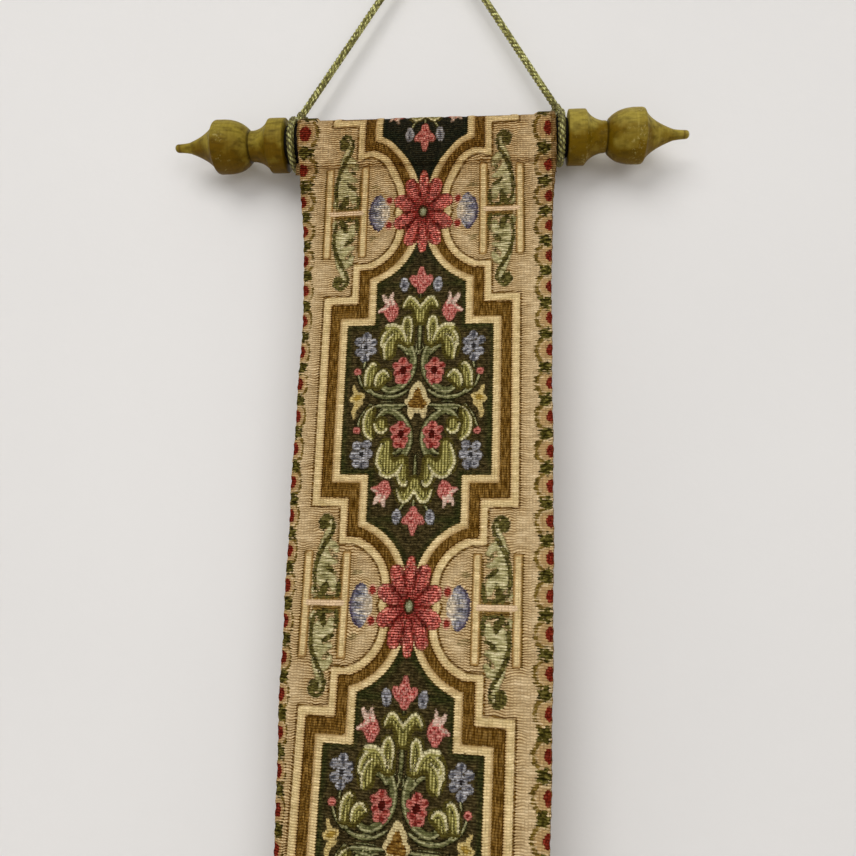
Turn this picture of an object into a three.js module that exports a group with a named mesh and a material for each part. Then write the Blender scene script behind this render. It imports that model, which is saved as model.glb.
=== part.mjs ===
// Tapestry bell pull: a woven strip folded over a rod and sewn into a sleeve, two turned
// finials pegged into the rod's ends, and a twisted cord that hangs the rod from one hook.
//
// Millimetres. +X is to the right, +Y towards the wall, +Z up. The origin is the underside
// of the cord at its apex, where the hook carries it.

import * as THREE from 'three';

// Rod: a round dowel with a finial at each end
const ROD_Y = -10;
const ROD_Z = -132.7;
const DOWEL_R = 9.5;
const DOWEL_HALF = 69.4;
const FIT_GAP = 0.3;
const EDGE_BREAK = 0.5;
const PEG_R = 4.5;
const PEG_LENGTH = 16;
const COLLAR_R = 13.2;
const COLLAR_WIDTH = 8.2;
const NECK_R = 7.55;
const NECK_AT = 16.6;
const BULB_FROM = 19.2;
const BULB_TO = 34.6;
const BULB_R = 13.2;
const TIP_R = 2.1;
const FINIAL_LENGTH = 58.3;

// Cloth: one woven strip, its long edges folded to the back and its top sewn round the rod
const CLOTH_T = 1.3;
const HEM_T = 1.2;
const HEM_WIDTH = 9;
const HEM_STEP = 0.8;
const HANG = 802;
const BOTTOM_HEM = 20;
const SLEEVE_R = DOWEL_R + 0.45;
const FLAP_Y = -8.3;
const FLAP_BEND = 4;
const FLAP_END = 22;
const SEAM_DROP = 19;
const FLARE = 25;
const STRIP_X = 0.7;
const HANG_ROWS = 30;
const WRAP_ROWS = 30;
const PLAIN_COLUMNS = 5;

// How the strip hangs, by distance below the rod's axis. shift: how far its middle line has
// moved sideways; slope: rise of its weft rows to the right; twist: its turn about the
// vertical, right edge forward; left, right: its two folded edges from the middle line.
const STRIP = [
  { below: -90, shift: 0.0, slope: 0.012, twist: 0.0, left: -62.5, right: 62.8 },
  { below: 0, shift: 0.0, slope: 0.011, twist: 0.0, left: -62.5, right: 62.8 },
  { below: 25, shift: 0.1, slope: 0.01, twist: 0.01, left: -60.0, right: 62.0 },
  { below: 52, shift: 0.1, slope: 0.008, twist: 0.02, left: -57.6, right: 60.2 },
  { below: 90, shift: 0.0, slope: 0.005, twist: 0.035, left: -55.3, right: 59.4 },
  { below: 180, shift: -1.0, slope: -0.005, twist: 0.07, left: -55.6, right: 59.8 },
  { below: 265, shift: -2.7, slope: -0.019, twist: 0.103, left: -54.0, right: 59.8 },
  { below: 325, shift: -4.4, slope: -0.03, twist: 0.126, left: -51.0, right: 59.7 },
  { below: 450, shift: -8.2, slope: -0.028, twist: 0.135, left: -50.4, right: 59.6 },
  { below: 620, shift: -12.2, slope: -0.018, twist: 0.11, left: -51.2, right: 59.5 },
  { below: 802, shift: -14.6, slope: -0.008, twist: 0.07, left: -52.2, right: 59.5 },
  { below: 900, shift: -15.2, slope: -0.006, twist: 0.06, left: -52.4, right: 59.5 },
];

// Cord: once round the dowel in the gap beside each finial, up to the hook and back
const CORD_R = 1.9;
const CORD_SIDES = 8;
const CORD_STEPS = 80;
const WRAP_R = DOWEL_R + 0.5 + CORD_R;
const WRAP_POINTS = 12;
const LIFT_R = 7.8;
const TAIL_GAP = 4.1;
const BINDING_WALL = 0.5;
const BINDING_GAP = 0.5;
const BINDING_LENGTH = 3;
const BINDING_RISE = 1.9;

// One row for each side: the middle of the wrap, and a point on the leg above it with the
// sideways run of the leg for each millimetre of rise.
const SIDES = {
  left: { wrapX: -65.5, legX: -67.0, legRun: 0.549 },
  right: { wrapX: 66.1, legX: 66.5, legRun: -0.54 },
};
const LEG_FROM = 20.0;
const APEX_HEIGHT = 134.6;
const APEX = [[-7.1, 130.2], [-4.1, 133.5], [0, APEX_HEIGHT], [4.1, 133.5], [7.1, 130.2]];
const HOOK_DEPTH = 10;

const ROUND = 24;

const paint = (color, roughness, metalness) =>
  new THREE.MeshStandardMaterial({ color, roughness, metalness });
const WOVEN = paint(0xb39a70, 0.95, 0);
const BLACK_WOOD = paint(0x14120f, 0.45, 0);
const OLIVE_PAINT = paint(0x6c6124, 0.5, 0);
const GOLD_CORD = paint(0xa8a052, 0.5, 0.3);

const group = new THREE.Group();

function add(name, geometry, material) {
  const mesh = new THREE.Mesh(geometry, material);
  mesh.name = name;
  group.add(mesh);
  return mesh;
}

// ---- Dowel: round, its ends bored for the finials' pegs

function dowel() {
  const bore = PEG_R + FIT_GAP;
  const depth = PEG_LENGTH + 1;
  const half = [
    [bore, DOWEL_HALF - depth],
    [bore, DOWEL_HALF],
    [DOWEL_R - EDGE_BREAK, DOWEL_HALF],
    [DOWEL_R, DOWEL_HALF - EDGE_BREAK],
  ];
  const lower = half.map(([r, z]) => new THREE.Vector2(r, -z));
  const upper = half.map(([r, z]) => new THREE.Vector2(r, z)).reverse();
  const profile = [
    new THREE.Vector2(0, depth - DOWEL_HALF),
    ...lower,
    ...upper,
    new THREE.Vector2(0, DOWEL_HALF - depth),
  ];
  const mesh = add('dowel', new THREE.LatheGeometry(profile, ROUND), BLACK_WOOD);
  mesh.rotation.z = -Math.PI / 2;
  mesh.position.set(0, ROD_Y, ROD_Z);
}

// ---- Finials: peg, collar, cove, bulb with a shoulder, and a drawn-out tip

function finial(name, side) {
  const path = new THREE.Path();
  path.moveTo(0, -PEG_LENGTH);
  path.lineTo(PEG_R, -PEG_LENGTH);
  path.lineTo(PEG_R, 0);
  path.lineTo(COLLAR_R - EDGE_BREAK, 0);
  path.lineTo(COLLAR_R, EDGE_BREAK);
  path.lineTo(COLLAR_R, COLLAR_WIDTH);
  path.quadraticCurveTo(8.6, 11.2, NECK_R, NECK_AT);
  path.lineTo(NECK_R, BULB_FROM - 0.8);
  path.lineTo(NECK_R - 0.35, BULB_FROM - 0.4);
  path.lineTo(NECK_R + 0.65, BULB_FROM);
  path.bezierCurveTo(10.6, 21.4, 12.9, 24.5, BULB_R, 31);
  path.lineTo(BULB_R, BULB_TO);
  path.quadraticCurveTo(BULB_R, 35.8, BULB_R - 0.8, 36.3);
  path.bezierCurveTo(9.0, 37.8, 5.5, 42.8, 2.7, 50.5);
  path.quadraticCurveTo(TIP_R + 0.1, 53, TIP_R, 56.2);
  path.quadraticCurveTo(TIP_R, FINIAL_LENGTH, 0, FINIAL_LENGTH);
  const profile = path.getPoints(5);
  const mesh = add(name, new THREE.LatheGeometry(profile, ROUND), OLIVE_PAINT);
  mesh.rotation.z = -side * Math.PI / 2;
  mesh.position.set(side * (DOWEL_HALF + FIT_GAP), ROD_Y, ROD_Z);
}

// ---- Cloth: a closed sheet along one section line, worked out row by row

// Smooth value of one column of the table at a distance below the rod
function stripAt(column, below) {
  const last = STRIP.length - 2;
  let i = 0;
  while (i < last && STRIP[i + 1].below <= below) i += 1;
  const a = STRIP[i];
  const b = STRIP[i + 1];
  const before = STRIP[Math.max(i - 1, 0)];
  const after = STRIP[Math.min(i + 2, STRIP.length - 1)];
  const width = b.below - a.below;
  const t = (below - a.below) / width;
  const startSlope = (b[column] - before[column]) / (b.below - before.below || 1) * width;
  const endSlope = (after[column] - a[column]) / (after.below - a.below || 1) * width;
  return (2 * t ** 3 - 3 * t ** 2 + 1) * a[column] + (t ** 3 - 2 * t ** 2 + t) * startSlope
    + (3 * t ** 2 - 2 * t ** 3) * b[column] + (t ** 3 - t ** 2) * endSlope;
}

// The inner face of the sleeve and the back face of the hanging part, seen from the side:
// up the front, over the dowel, down behind it and in to the seam. x is depth, y is height.
function sectionLine() {
  const flap = new THREE.Vector2(FLAP_Y + FLAP_BEND, -(SEAM_DROP - 2));
  const apart = flap.length();
  const toFlap = Math.atan2(flap.y, flap.x);
  const leave = toFlap + Math.acos((SLEEVE_R + FLAP_BEND) / apart);
  const bendFrom = leave - Math.PI;
  const line = new THREE.Path();
  line.moveTo(-SLEEVE_R, -HANG);
  line.lineTo(-SLEEVE_R, 0);
  line.absarc(0, 0, SLEEVE_R, Math.PI, leave, true);
  line.absarc(flap.x, flap.y, FLAP_BEND, bendFrom, -Math.PI, false);
  line.lineTo(FLAP_Y, -FLAP_END);
  return line;
}

const ease = (t) => {
  const c = THREE.MathUtils.clamp(t, 0, 1);
  return c * c * (3 - 2 * c);
};

// Distances along the section line at which the sheet has a row of points
function rowStations(total) {
  const hemTop = BOTTOM_HEM + HEM_STEP;
  const stations = [0, BOTTOM_HEM, hemTop];
  for (let i = 1; i <= HANG_ROWS; i += 1) {
    stations.push(hemTop + (HANG - hemTop) * i / HANG_ROWS);
  }
  for (let i = 1; i <= WRAP_ROWS; i += 1) {
    stations.push(HANG + (total - HANG) * i / WRAP_ROWS);
  }
  return stations;
}

// Places across the strip, from its left edge to its right one
function columnsAt(below) {
  const left = stripAt('left', below);
  const right = stripAt('right', below);
  const step = HEM_WIDTH + HEM_STEP;
  const columns = [left, left + HEM_WIDTH, left + step];
  for (let i = 1; i < PLAIN_COLUMNS; i += 1) {
    columns.push(left + step + (right - left - 2 * step) * i / PLAIN_COLUMNS);
  }
  columns.push(right - step, right - HEM_WIDTH, right);
  return columns;
}

function cloth() {
  const line = sectionLine();
  const total = line.getLength();
  const stations = rowStations(total);
  const outer = [];
  const inner = [];
  for (const station of stations) {
    const below = HANG - station;
    const columns = columnsAt(below);
    const outerRow = [];
    const innerRow = [];
    columns.forEach((across, i) => {
      const inSideHem = i < 2 || i > columns.length - 3;
      const folded = inSideHem || station <= BOTTOM_HEM;
      const outward = ease((station - HANG + FLARE) / FLARE);
      const climb = stripAt('slope', below) * across;
      const at = THREE.MathUtils.clamp((station + climb) / total, 0, 1);
      const point = line.getPointAt(at);
      const along = line.getTangentAt(at);
      const normal = new THREE.Vector2(-along.y, along.x);
      const twist = stripAt('twist', below);
      const x = STRIP_X + stripAt('shift', below) + across * Math.cos(twist);
      const turn = -across * Math.sin(twist);
      // the strip's ends overrun the line by the rise of their rows
      const overrun = station + climb - at * total;
      const place = (lift) => new THREE.Vector3(
        x,
        ROD_Y + point.x + normal.x * lift + along.x * overrun + turn,
        ROD_Z + point.y + normal.y * lift + along.y * overrun,
      );
      const extra = folded ? HEM_T : 0;
      outerRow.push(place(CLOTH_T + extra * outward));
      innerRow.push(place(-extra * (1 - outward)));
    });
    outer.push(outerRow);
    inner.push(innerRow);
  }
  add('cloth', sheetSolid(outer, inner), WOVEN);
}

// Closes two matching grids of points into one solid
function sheetSolid(outer, inner) {
  const rows = outer.length;
  const columns = outer[0].length;
  const positions = [...outer.flat(), ...inner.flat()].flatMap((p) => p.toArray());
  const top = (i, j) => i * columns + j;
  const under = (i, j) => rows * columns + i * columns + j;
  const index = [];
  const quad = (a, b, c, d) => index.push(a, b, c, a, c, d);
  for (let i = 0; i + 1 < rows; i += 1) {
    for (let j = 0; j + 1 < columns; j += 1) {
      quad(top(i, j), top(i, j + 1), top(i + 1, j + 1), top(i + 1, j));
      quad(under(i, j), under(i + 1, j), under(i + 1, j + 1), under(i, j + 1));
    }
    quad(top(i, 0), top(i + 1, 0), under(i + 1, 0), under(i, 0));
    const e = columns - 1;
    quad(top(i, e), under(i, e), under(i + 1, e), top(i + 1, e));
  }
  for (let j = 0; j + 1 < columns; j += 1) {
    quad(top(0, j), under(0, j), under(0, j + 1), top(0, j + 1));
    const e = rows - 1;
    quad(top(e, j), top(e, j + 1), under(e, j + 1), under(e, j));
  }
  const geometry = new THREE.BufferGeometry();
  geometry.setAttribute('position', new THREE.Float32BufferAttribute(positions, 3));
  geometry.setIndex(index);
  return geometry;
}

// ---- Cord: one length from tail to tail, with each tail bound to its leg behind the rod

// A point from its place across, its depth behind the rod's axis and its height over it
const fromRod = (x, depth, height) =>
  new THREE.Vector3(x, ROD_Y + depth, ROD_Z + height);

// Steps follow the points, so that the wraps get more of them than the straight legs
class RouteCurve extends THREE.CatmullRomCurve3 {
  getPointAt(t, target) {
    return this.getPoint(t, target);
  }

  getTangentAt(t, target) {
    return this.getTangent(t, target);
  }
}

// From a tail down behind the dowel, under it, up its front, over it and up into the leg
function wrapPoints({ wrapX, legX, legRun }) {
  const tail = LIFT_R + TAIL_GAP;
  const points = [
    fromRod(legX + legRun * 4.5, tail, LEG_FROM + 4.5),
    fromRod(legX, tail, LEG_FROM),
    fromRod(THREE.MathUtils.lerp(wrapX, legX, 0.8), tail, 14),
    fromRod(THREE.MathUtils.lerp(wrapX, legX, 0.3), tail, 7),
  ];
  for (let i = 0; i <= WRAP_POINTS; i += 1) {
    const turn = 1.5 * Math.PI * i / WRAP_POINTS;
    points.push(fromRod(wrapX, WRAP_R * Math.cos(turn), -WRAP_R * Math.sin(turn)));
  }
  const lift = Math.PI / 4;
  const centre = WRAP_R + LIFT_R;
  points.push(fromRod(
    THREE.MathUtils.lerp(wrapX, legX, 0.4),
    LIFT_R * Math.sin(lift),
    centre - LIFT_R * Math.cos(lift),
  ));
  points.push(fromRod(legX, LIFT_R, LEG_FROM));
  points.push(fromRod(legX + legRun * 4.5, LIFT_R, LEG_FROM + 4.5));
  return points;
}

function cord() {
  const apex = APEX.map(([x, height]) => fromRod(x, HOOK_DEPTH, height));
  const leg = ({ legX, legRun }, rise) => fromRod(
    legX + legRun * rise,
    THREE.MathUtils.mapLinear(rise, 0, APEX_HEIGHT - LEG_FROM, LIFT_R, HOOK_DEPTH),
    LEG_FROM + rise,
  );
  const points = [
    ...wrapPoints(SIDES.left),
    leg(SIDES.left, 20),
    leg(SIDES.left, 50),
    leg(SIDES.left, 80),
    ...apex,
    leg(SIDES.right, 80),
    leg(SIDES.right, 50),
    leg(SIDES.right, 20),
    ...wrapPoints(SIDES.right).reverse(),
  ];
  const route = new RouteCurve(points, false, 'centripetal');
  const corners = [];
  for (let i = 0; i < CORD_SIDES; i += 1) {
    const a = 2 * Math.PI * i / CORD_SIDES;
    corners.push(new THREE.Vector2(CORD_R * Math.cos(a), CORD_R * Math.sin(a)));
  }
  const round = new THREE.Shape(corners);
  const tube = new THREE.ExtrudeGeometry(round, { steps: CORD_STEPS, extrudePath: route });
  add('hanging_cord', tube, GOLD_CORD);
}

// ---- Bindings: a few turns of thread round a leg and its tail

function stadium(path, r) {
  const apart = TAIL_GAP / 2;
  path.absarc(0, apart, r, 0, Math.PI, false);
  path.absarc(0, -apart, r, Math.PI, 2 * Math.PI, false);
  path.closePath();
  return path;
}

function binding(name, { legX, legRun }) {
  const shape = stadium(new THREE.Shape(), CORD_R + BINDING_GAP + BINDING_WALL);
  shape.holes.push(stadium(new THREE.Path(), CORD_R + BINDING_GAP));
  const options = { depth: BINDING_LENGTH, bevelEnabled: false, curveSegments: 10 };
  const geometry = new THREE.ExtrudeGeometry(shape, options);
  geometry.translate(0, 0, -BINDING_LENGTH / 2);
  const mesh = add(name, geometry, GOLD_CORD);
  mesh.rotation.y = Math.atan(legRun);
  const rise = BINDING_RISE;
  mesh.position.copy(fromRod(legX + legRun * rise, LIFT_R + TAIL_GAP / 2, LEG_FROM + rise));
}

cloth();
dowel();
finial('finial_left', -1);
finial('finial_right', 1);
cord();
binding('cord_binding_left', SIDES.left);
binding('cord_binding_right', SIDES.right);

export default group;
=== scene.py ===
import functools
import math

import bmesh
import bpy
import numpy as np
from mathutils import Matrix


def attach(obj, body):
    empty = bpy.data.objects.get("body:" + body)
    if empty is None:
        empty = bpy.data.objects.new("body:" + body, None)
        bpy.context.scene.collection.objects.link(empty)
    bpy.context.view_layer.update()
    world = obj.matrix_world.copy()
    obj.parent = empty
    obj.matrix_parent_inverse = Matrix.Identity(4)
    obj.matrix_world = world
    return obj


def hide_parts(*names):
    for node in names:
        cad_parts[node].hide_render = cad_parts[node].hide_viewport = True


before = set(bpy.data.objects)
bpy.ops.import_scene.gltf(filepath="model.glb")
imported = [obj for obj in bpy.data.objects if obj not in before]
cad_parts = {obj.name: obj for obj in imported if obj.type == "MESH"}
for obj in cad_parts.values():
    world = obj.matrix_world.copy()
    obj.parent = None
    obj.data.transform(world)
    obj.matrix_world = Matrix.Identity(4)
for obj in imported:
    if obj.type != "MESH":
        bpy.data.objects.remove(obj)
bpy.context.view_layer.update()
scene = bpy.context.scene
scene.view_settings.view_transform = "Standard"


# Viewpoint. A moderate wide lens stands low in front of the strip and tips up a little, so the
# rod is above the middle of the view and the hanging end runs out at the bottom.
camera = bpy.data.objects.new("camera", bpy.data.cameras.new("camera"))
camera.location = (0.0338, -0.35596, -0.3587)
camera.rotation_euler = [math.radians(turn) for turn in (102.972556, -1.206144, 4.59722)]
camera.data.lens = 32.94
camera.data.sensor_width = 36.0
camera.data.clip_start = 0.01
scene.collection.objects.link(camera)
scene.camera = camera


# Hanging cord. Three strands of gold metallic thread laid up into one soft twisted cord, 3.8 mm
# thick. It rises from the rod to the hook, takes one turn round the rod inside each finial, and
# its two short tails lie behind the legs, where a few turns of thread hold them.
MM = 0.001
ROD_Y = -10.0
ROD_Z = -132.7
DOWEL_R = 9.5
CORD_R = 1.9
CORD_LEAD = 7.5
CORD_STEP = 0.55
STRAND_R = 0.97
STRANDS = 3
WRAP_R = DOWEL_R + 0.5 + CORD_R
LIFT_R = 7.8
TAIL_GAP = 4.1
TAIL_RISE = 4.5
LEG_FROM = 20.0
HOOK_DEPTH = 10.0
APEX = [(-7.1, 130.2), (-4.1, 133.5), (0.0, 134.6), (4.1, 133.5), (7.1, 130.2)]
LEG_HEIGHT = APEX[2][1] - LEG_FROM
LEFT_SIDE = {"wrap_x": -65.5, "leg_x": -67.0, "leg_run": 0.549}
RIGHT_SIDE = {"wrap_x": 66.1, "leg_x": 66.5, "leg_run": -0.54}


def from_rod(x, depth, height):
    return (x, ROD_Y + depth, ROD_Z + height)


def side_points(side):
    """Half of the cord: its tail, its turn round the rod, and its leg up to the hook"""
    wrap_x, leg_x, run = side["wrap_x"], side["leg_x"], side["leg_run"]
    tail = LIFT_R + TAIL_GAP
    points = [
        from_rod(leg_x + run * TAIL_RISE, tail, LEG_FROM + TAIL_RISE),
        from_rod(leg_x, tail, LEG_FROM),
        from_rod(wrap_x + (leg_x - wrap_x) * 0.8, tail, 14.0),
        from_rod(wrap_x + (leg_x - wrap_x) * 0.3, tail, 7.0),
    ]
    for i in range(13):
        turn = 1.5 * math.pi * i / 12
        points.append(from_rod(wrap_x, WRAP_R * math.cos(turn), -WRAP_R * math.sin(turn)))
    lift = LIFT_R * math.sqrt(0.5)
    points.append(from_rod(wrap_x + (leg_x - wrap_x) * 0.4, lift, WRAP_R + LIFT_R - lift))
    points.append(from_rod(leg_x, LIFT_R, LEG_FROM))
    for rise, lean in ((TAIL_RISE, 0), (20, 1), (50, 1), (80, 1)):
        depth = LIFT_R + lean * (HOOK_DEPTH - LIFT_R) * rise / LEG_HEIGHT
        points.append(from_rod(leg_x + run * rise, depth, LEG_FROM + rise))
    return points


def smooth_route(points, steps, spacing=0.5):
    """A smooth run through points. Spacing is 0 for points that are to count as evenly set."""
    p = np.array(points, float)
    p = np.vstack([2 * p[0] - p[1], p, 2 * p[-1] - p[-2]])
    spans = np.linalg.norm(np.diff(p, axis=0), axis=1) ** spacing
    t = np.linspace(0, 1, steps, endpoint=False)[:, None]
    run = []
    for i in range(len(spans) - 2):
        (a, b, c, d), (before, here, after) = p[i:i + 4], spans[i:i + 3]
        leave = ((b - a) / before - (c - a) / (before + here) + (c - b) / here) * here
        reach = ((c - b) / here - (d - b) / (here + after) + (d - c) / after) * here
        bend = -3 * b + 3 * c - 2 * leave - reach
        settle = 2 * b - 2 * c + leave + reach
        run.append(b + leave * t + bend * t ** 2 + settle * t ** 3)
    return np.vstack(run + [p[-2:-1]])


def even_steps(run, step):
    """The same run with points an even step apart, and each one's distance along it"""
    reach = np.concatenate([[0], np.cumsum(np.linalg.norm(np.diff(run, axis=0), axis=1))])
    at = np.linspace(0, reach[-1], round(reach[-1] / step) + 1)
    return np.column_stack([np.interp(at, reach, run[:, i]) for i in range(3)]), at


def carried_frame(run):
    """Two cross directions carried along a run without turning about it"""
    along = np.gradient(run, axis=0)
    along /= np.linalg.norm(along, axis=1)[:, None]
    side = np.empty_like(run)
    kept = np.cross(along[0], (0.0, 0.0, 1.0))
    for i, direction in enumerate(along):
        kept = kept - direction * (kept @ direction)
        side[i] = kept = kept / np.linalg.norm(kept)
    return side, np.cross(along, side)


def tube_rings(run, radius, sides, at):
    """Rings of a round tube along a run, drawn in to a round nose at both ends"""
    side, across = carried_frame(run)
    turn = np.arange(sides) * 2 * math.pi / sides
    ends = np.minimum(at, at[-1] - at)
    thick = radius * np.sqrt(np.clip(1 - (1 - np.minimum(ends / radius, 1)) ** 2, 0.02, 1))
    rim = np.cos(turn)[None, :, None] * side[:, None] + np.sin(turn)[None, :, None] * across[:, None]
    return run[:, None] + rim * thick[:, None, None]


def new_piece(name, points, faces, smooth=True):
    """An object from points in millimetres"""
    mesh = bpy.data.meshes.new(name)
    mesh.from_pydata([tuple(p) for p in np.asarray(points) * MM], [], faces)
    mesh.polygons.foreach_set("use_smooth", [smooth] * len(mesh.polygons))
    made = bpy.data.objects.new(name, mesh)
    scene.collection.objects.link(made)
    return made


def set_uv(made, title, pairs):
    """Stores a map, one pair for each corner of each face"""
    layer = made.data.uv_layers.new(name=title)
    layer.data.foreach_set("uv", np.asarray(pairs, np.float32).ravel())


def set_channel(made, title, values):
    """Stores one number for each point, which a material reads by the title"""
    channel = made.data.attributes.new(title, "FLOAT", "POINT")
    channel.data.foreach_set("value", np.asarray(values, np.float32))


def tubes_object(name, tubes, sides, core=None):
    """One mesh of several tubes. Its map "lay" holds the share of the way round, and millimetres
    along. "proud" is 1 where a tube stands furthest out from the core that it is laid round."""
    points, faces, uvs, proud = [], [], [], []
    for run, radius, at in tubes:
        rings = tube_rings(run, radius, sides, at)
        out = np.full(rings.shape[:2], 1.0)
        if core is not None:
            out = np.linalg.norm(rings - core[:, None], axis=2)
            out = (out - 0.45 * out.max()) / (0.55 * out.max())
        proud += list(out.ravel())
        first = len(points)
        last = first + (len(run) - 1) * sides
        for i, row in enumerate(range(first, last, sides)):
            for j in range(sides):
                k = (j + 1) % sides
                faces.append((row + j, row + k, row + sides + k, row + sides + j))
                low, high = j / sides, (j + 1) / sides
                uvs += [(low, at[i]), (high, at[i]), (high, at[i + 1]), (low, at[i + 1])]
        for start, reach, order in ((first, at[0], -1), (last, at[-1], 1)):
            faces.append(tuple(start + j for j in range(sides)[::order]))
            uvs += [(j / sides, reach) for j in range(sides)[::order]]
        points += list(rings.reshape(-1, 3))
    made = new_piece(name, points, faces)
    set_uv(made, "lay", uvs)
    set_channel(made, "proud", np.clip(proud, 0, 1))
    return made


def dye(red, green, blue):
    """A colour as the eye reads it, 0 to 255, made ready for a shader socket"""
    given = [value / 255 for value in (red, green, blue)]
    return tuple(v / 12.92 if v <= 0.04045 else ((v + 0.055) / 1.055) ** 2.4 for v in given) + (1.0,)


class Wiring:
    """Short ways to add nodes to a tree. Each value is a number, a colour or a node's socket."""

    def __init__(self, tree):
        self.tree = tree

    def fit(self, node, inputs):
        """Gives inputs of a node their values, by name or number"""
        for key, value in inputs.items():
            if isinstance(value, bpy.types.NodeSocket):
                self.tree.links.new(value, node.inputs[key])
            else:
                node.inputs[key].default_value = value
        return node

    def add(self, kind, inputs=None, **settings):
        node = self.tree.nodes.new(kind)
        for name, value in settings.items():
            setattr(node, name, value)
        return self.fit(node, inputs or {})

    def calc(self, operation, *values, clamp=False):
        node = self.add("ShaderNodeMath", dict(enumerate(values)), operation=operation, use_clamp=clamp)
        return node.outputs[0]

    def scaled(self, value, factor, shift, clamp=False):
        """value times factor, plus shift"""
        return self.calc("MULTIPLY_ADD", value, factor, shift, clamp=clamp)

    def times(self, value, *others):
        for other in others:
            value = self.calc("MULTIPLY", value, other)
        return value

    def plus(self, value, other):
        return self.calc("ADD", value, other)

    def larger(self, value, *others):
        for other in others:
            value = self.calc("MAXIMUM", value, other)
        return value

    def distance(self, value, other):
        """How far two values are apart"""
        return self.calc("ABSOLUTE", self.calc("SUBTRACT", value, other))

    def vector(self, *parts):
        return self.add("ShaderNodeCombineXYZ", dict(enumerate(parts))).outputs[0]

    def parts(self, vector):
        return self.add("ShaderNodeSeparateXYZ", {0: vector}).outputs

    def object_place(self):
        return self.add("ShaderNodeTexCoord").outputs["Object"]

    def channel(self, title):
        """A number stored at the points of the mesh"""
        return self.add("ShaderNodeAttribute", attribute_name=title).outputs["Fac"]

    def noise(self, spot, scale, detail, **more):
        inputs = {"Vector": spot, "Scale": scale, "Detail": detail, **more}
        return self.add("ShaderNodeTexNoise", inputs).outputs[0]

    def grain(self, spot, pitch, detail):
        """Noise drawn out along an object's x axis"""
        drawn = self.add("ShaderNodeMapping", {"Vector": spot, "Scale": pitch}).outputs[0]
        return self.noise(drawn, 1.0, detail)

    def bump(self, height, strength, distance):
        inputs = {"Height": height, "Strength": strength, "Distance": distance}
        return self.add("ShaderNodeBump", inputs).outputs[0]

    def blend(self, amount, under, over, kind="MIX"):
        inputs = {0: amount, 6: under, 7: over}
        return self.add("ShaderNodeMix", inputs, data_type="RGBA", blend_type=kind).outputs[2]

    def ramp(self, value, *stops):
        """Colour ramp from (place, colour) stops"""
        node = self.add("ShaderNodeValToRGB", {0: value})
        elements = node.color_ramp.elements
        while len(elements) < len(stops):
            elements.new(0.5)
        for element, (at, colour) in zip(elements, stops):
            element.position = at
            element.color = dye(*colour)
        return node.outputs[0]


def fresh_material(name, **plain):
    """A material, its wiring, and its surface shader with plain numbers set on its own sockets"""
    material = bpy.data.materials.new(name)
    material.use_nodes = True
    surface = material.node_tree.nodes["Principled BSDF"]
    for key, value in plain.items():
        surface.inputs[key.replace("_", " ")].default_value = value
    return material, Wiring(material.node_tree), surface


def fresh_group(name, kind, takes, gives):
    """An empty node group, its wiring and what it is given. The rows are title, kind, start."""
    group = bpy.data.node_groups.new(name, kind)
    for in_out, rows in (("INPUT", takes), ("OUTPUT", gives)):
        for title, form, *start in rows:
            socket = group.interface.new_socket(title, in_out=in_out, socket_type="NodeSocket" + form)
            for value in start:
                socket.default_value = value
    nodes = Wiring(group)
    return group, nodes, nodes.add("NodeGroupInput").outputs


def spun_thread_group():
    """Fine filaments wound round a strand: their glint, their relief and the dark between them, which the
    thread's colour uses for painted glints and painted shade
    """
    group, nodes, given = fresh_group(
        "spun thread", "ShaderNodeTree",
        [("Around", "Float"), ("Along", "Float"), ("Filaments", "Float", 6), ("Lead", "Float", 5)],
        [("Glint", "Float"), ("Relief", "Float"), ("Fleck", "Float")])
    turns = nodes.calc("DIVIDE", given["Along"], given["Lead"])
    count = nodes.times(nodes.scaled(given["Around"], 1.0, turns), given["Filaments"])
    relief = nodes.scaled(nodes.calc("COSINE", nodes.times(count, 2 * math.pi)), 0.5, 0.5)
    # each filament shows for a short way between the dips of its own twist
    filament = nodes.calc("ROUND", count)
    dash = nodes.scaled(given["Along"], 0.72, nodes.times(filament, 0.41))
    spot = nodes.vector(filament, nodes.calc("ROUND", dash))
    chance = nodes.add("ShaderNodeTexWhiteNoise", {"Vector": spot}, noise_dimensions="2D").outputs["Value"]
    swell = nodes.scaled(nodes.calc("COSINE", nodes.times(dash, 2 * math.pi)), 0.4, 0.6)
    nodes.fit(nodes.add("NodeGroupOutput"), {
        "Glint": nodes.times(nodes.scaled(chance, 5.0, -2.0, clamp=True), swell, relief),
        "Relief": relief,
        "Fleck": nodes.times(nodes.scaled(chance, 2.4, -0.5, clamp=True), swell),
    })
    return group


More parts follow.
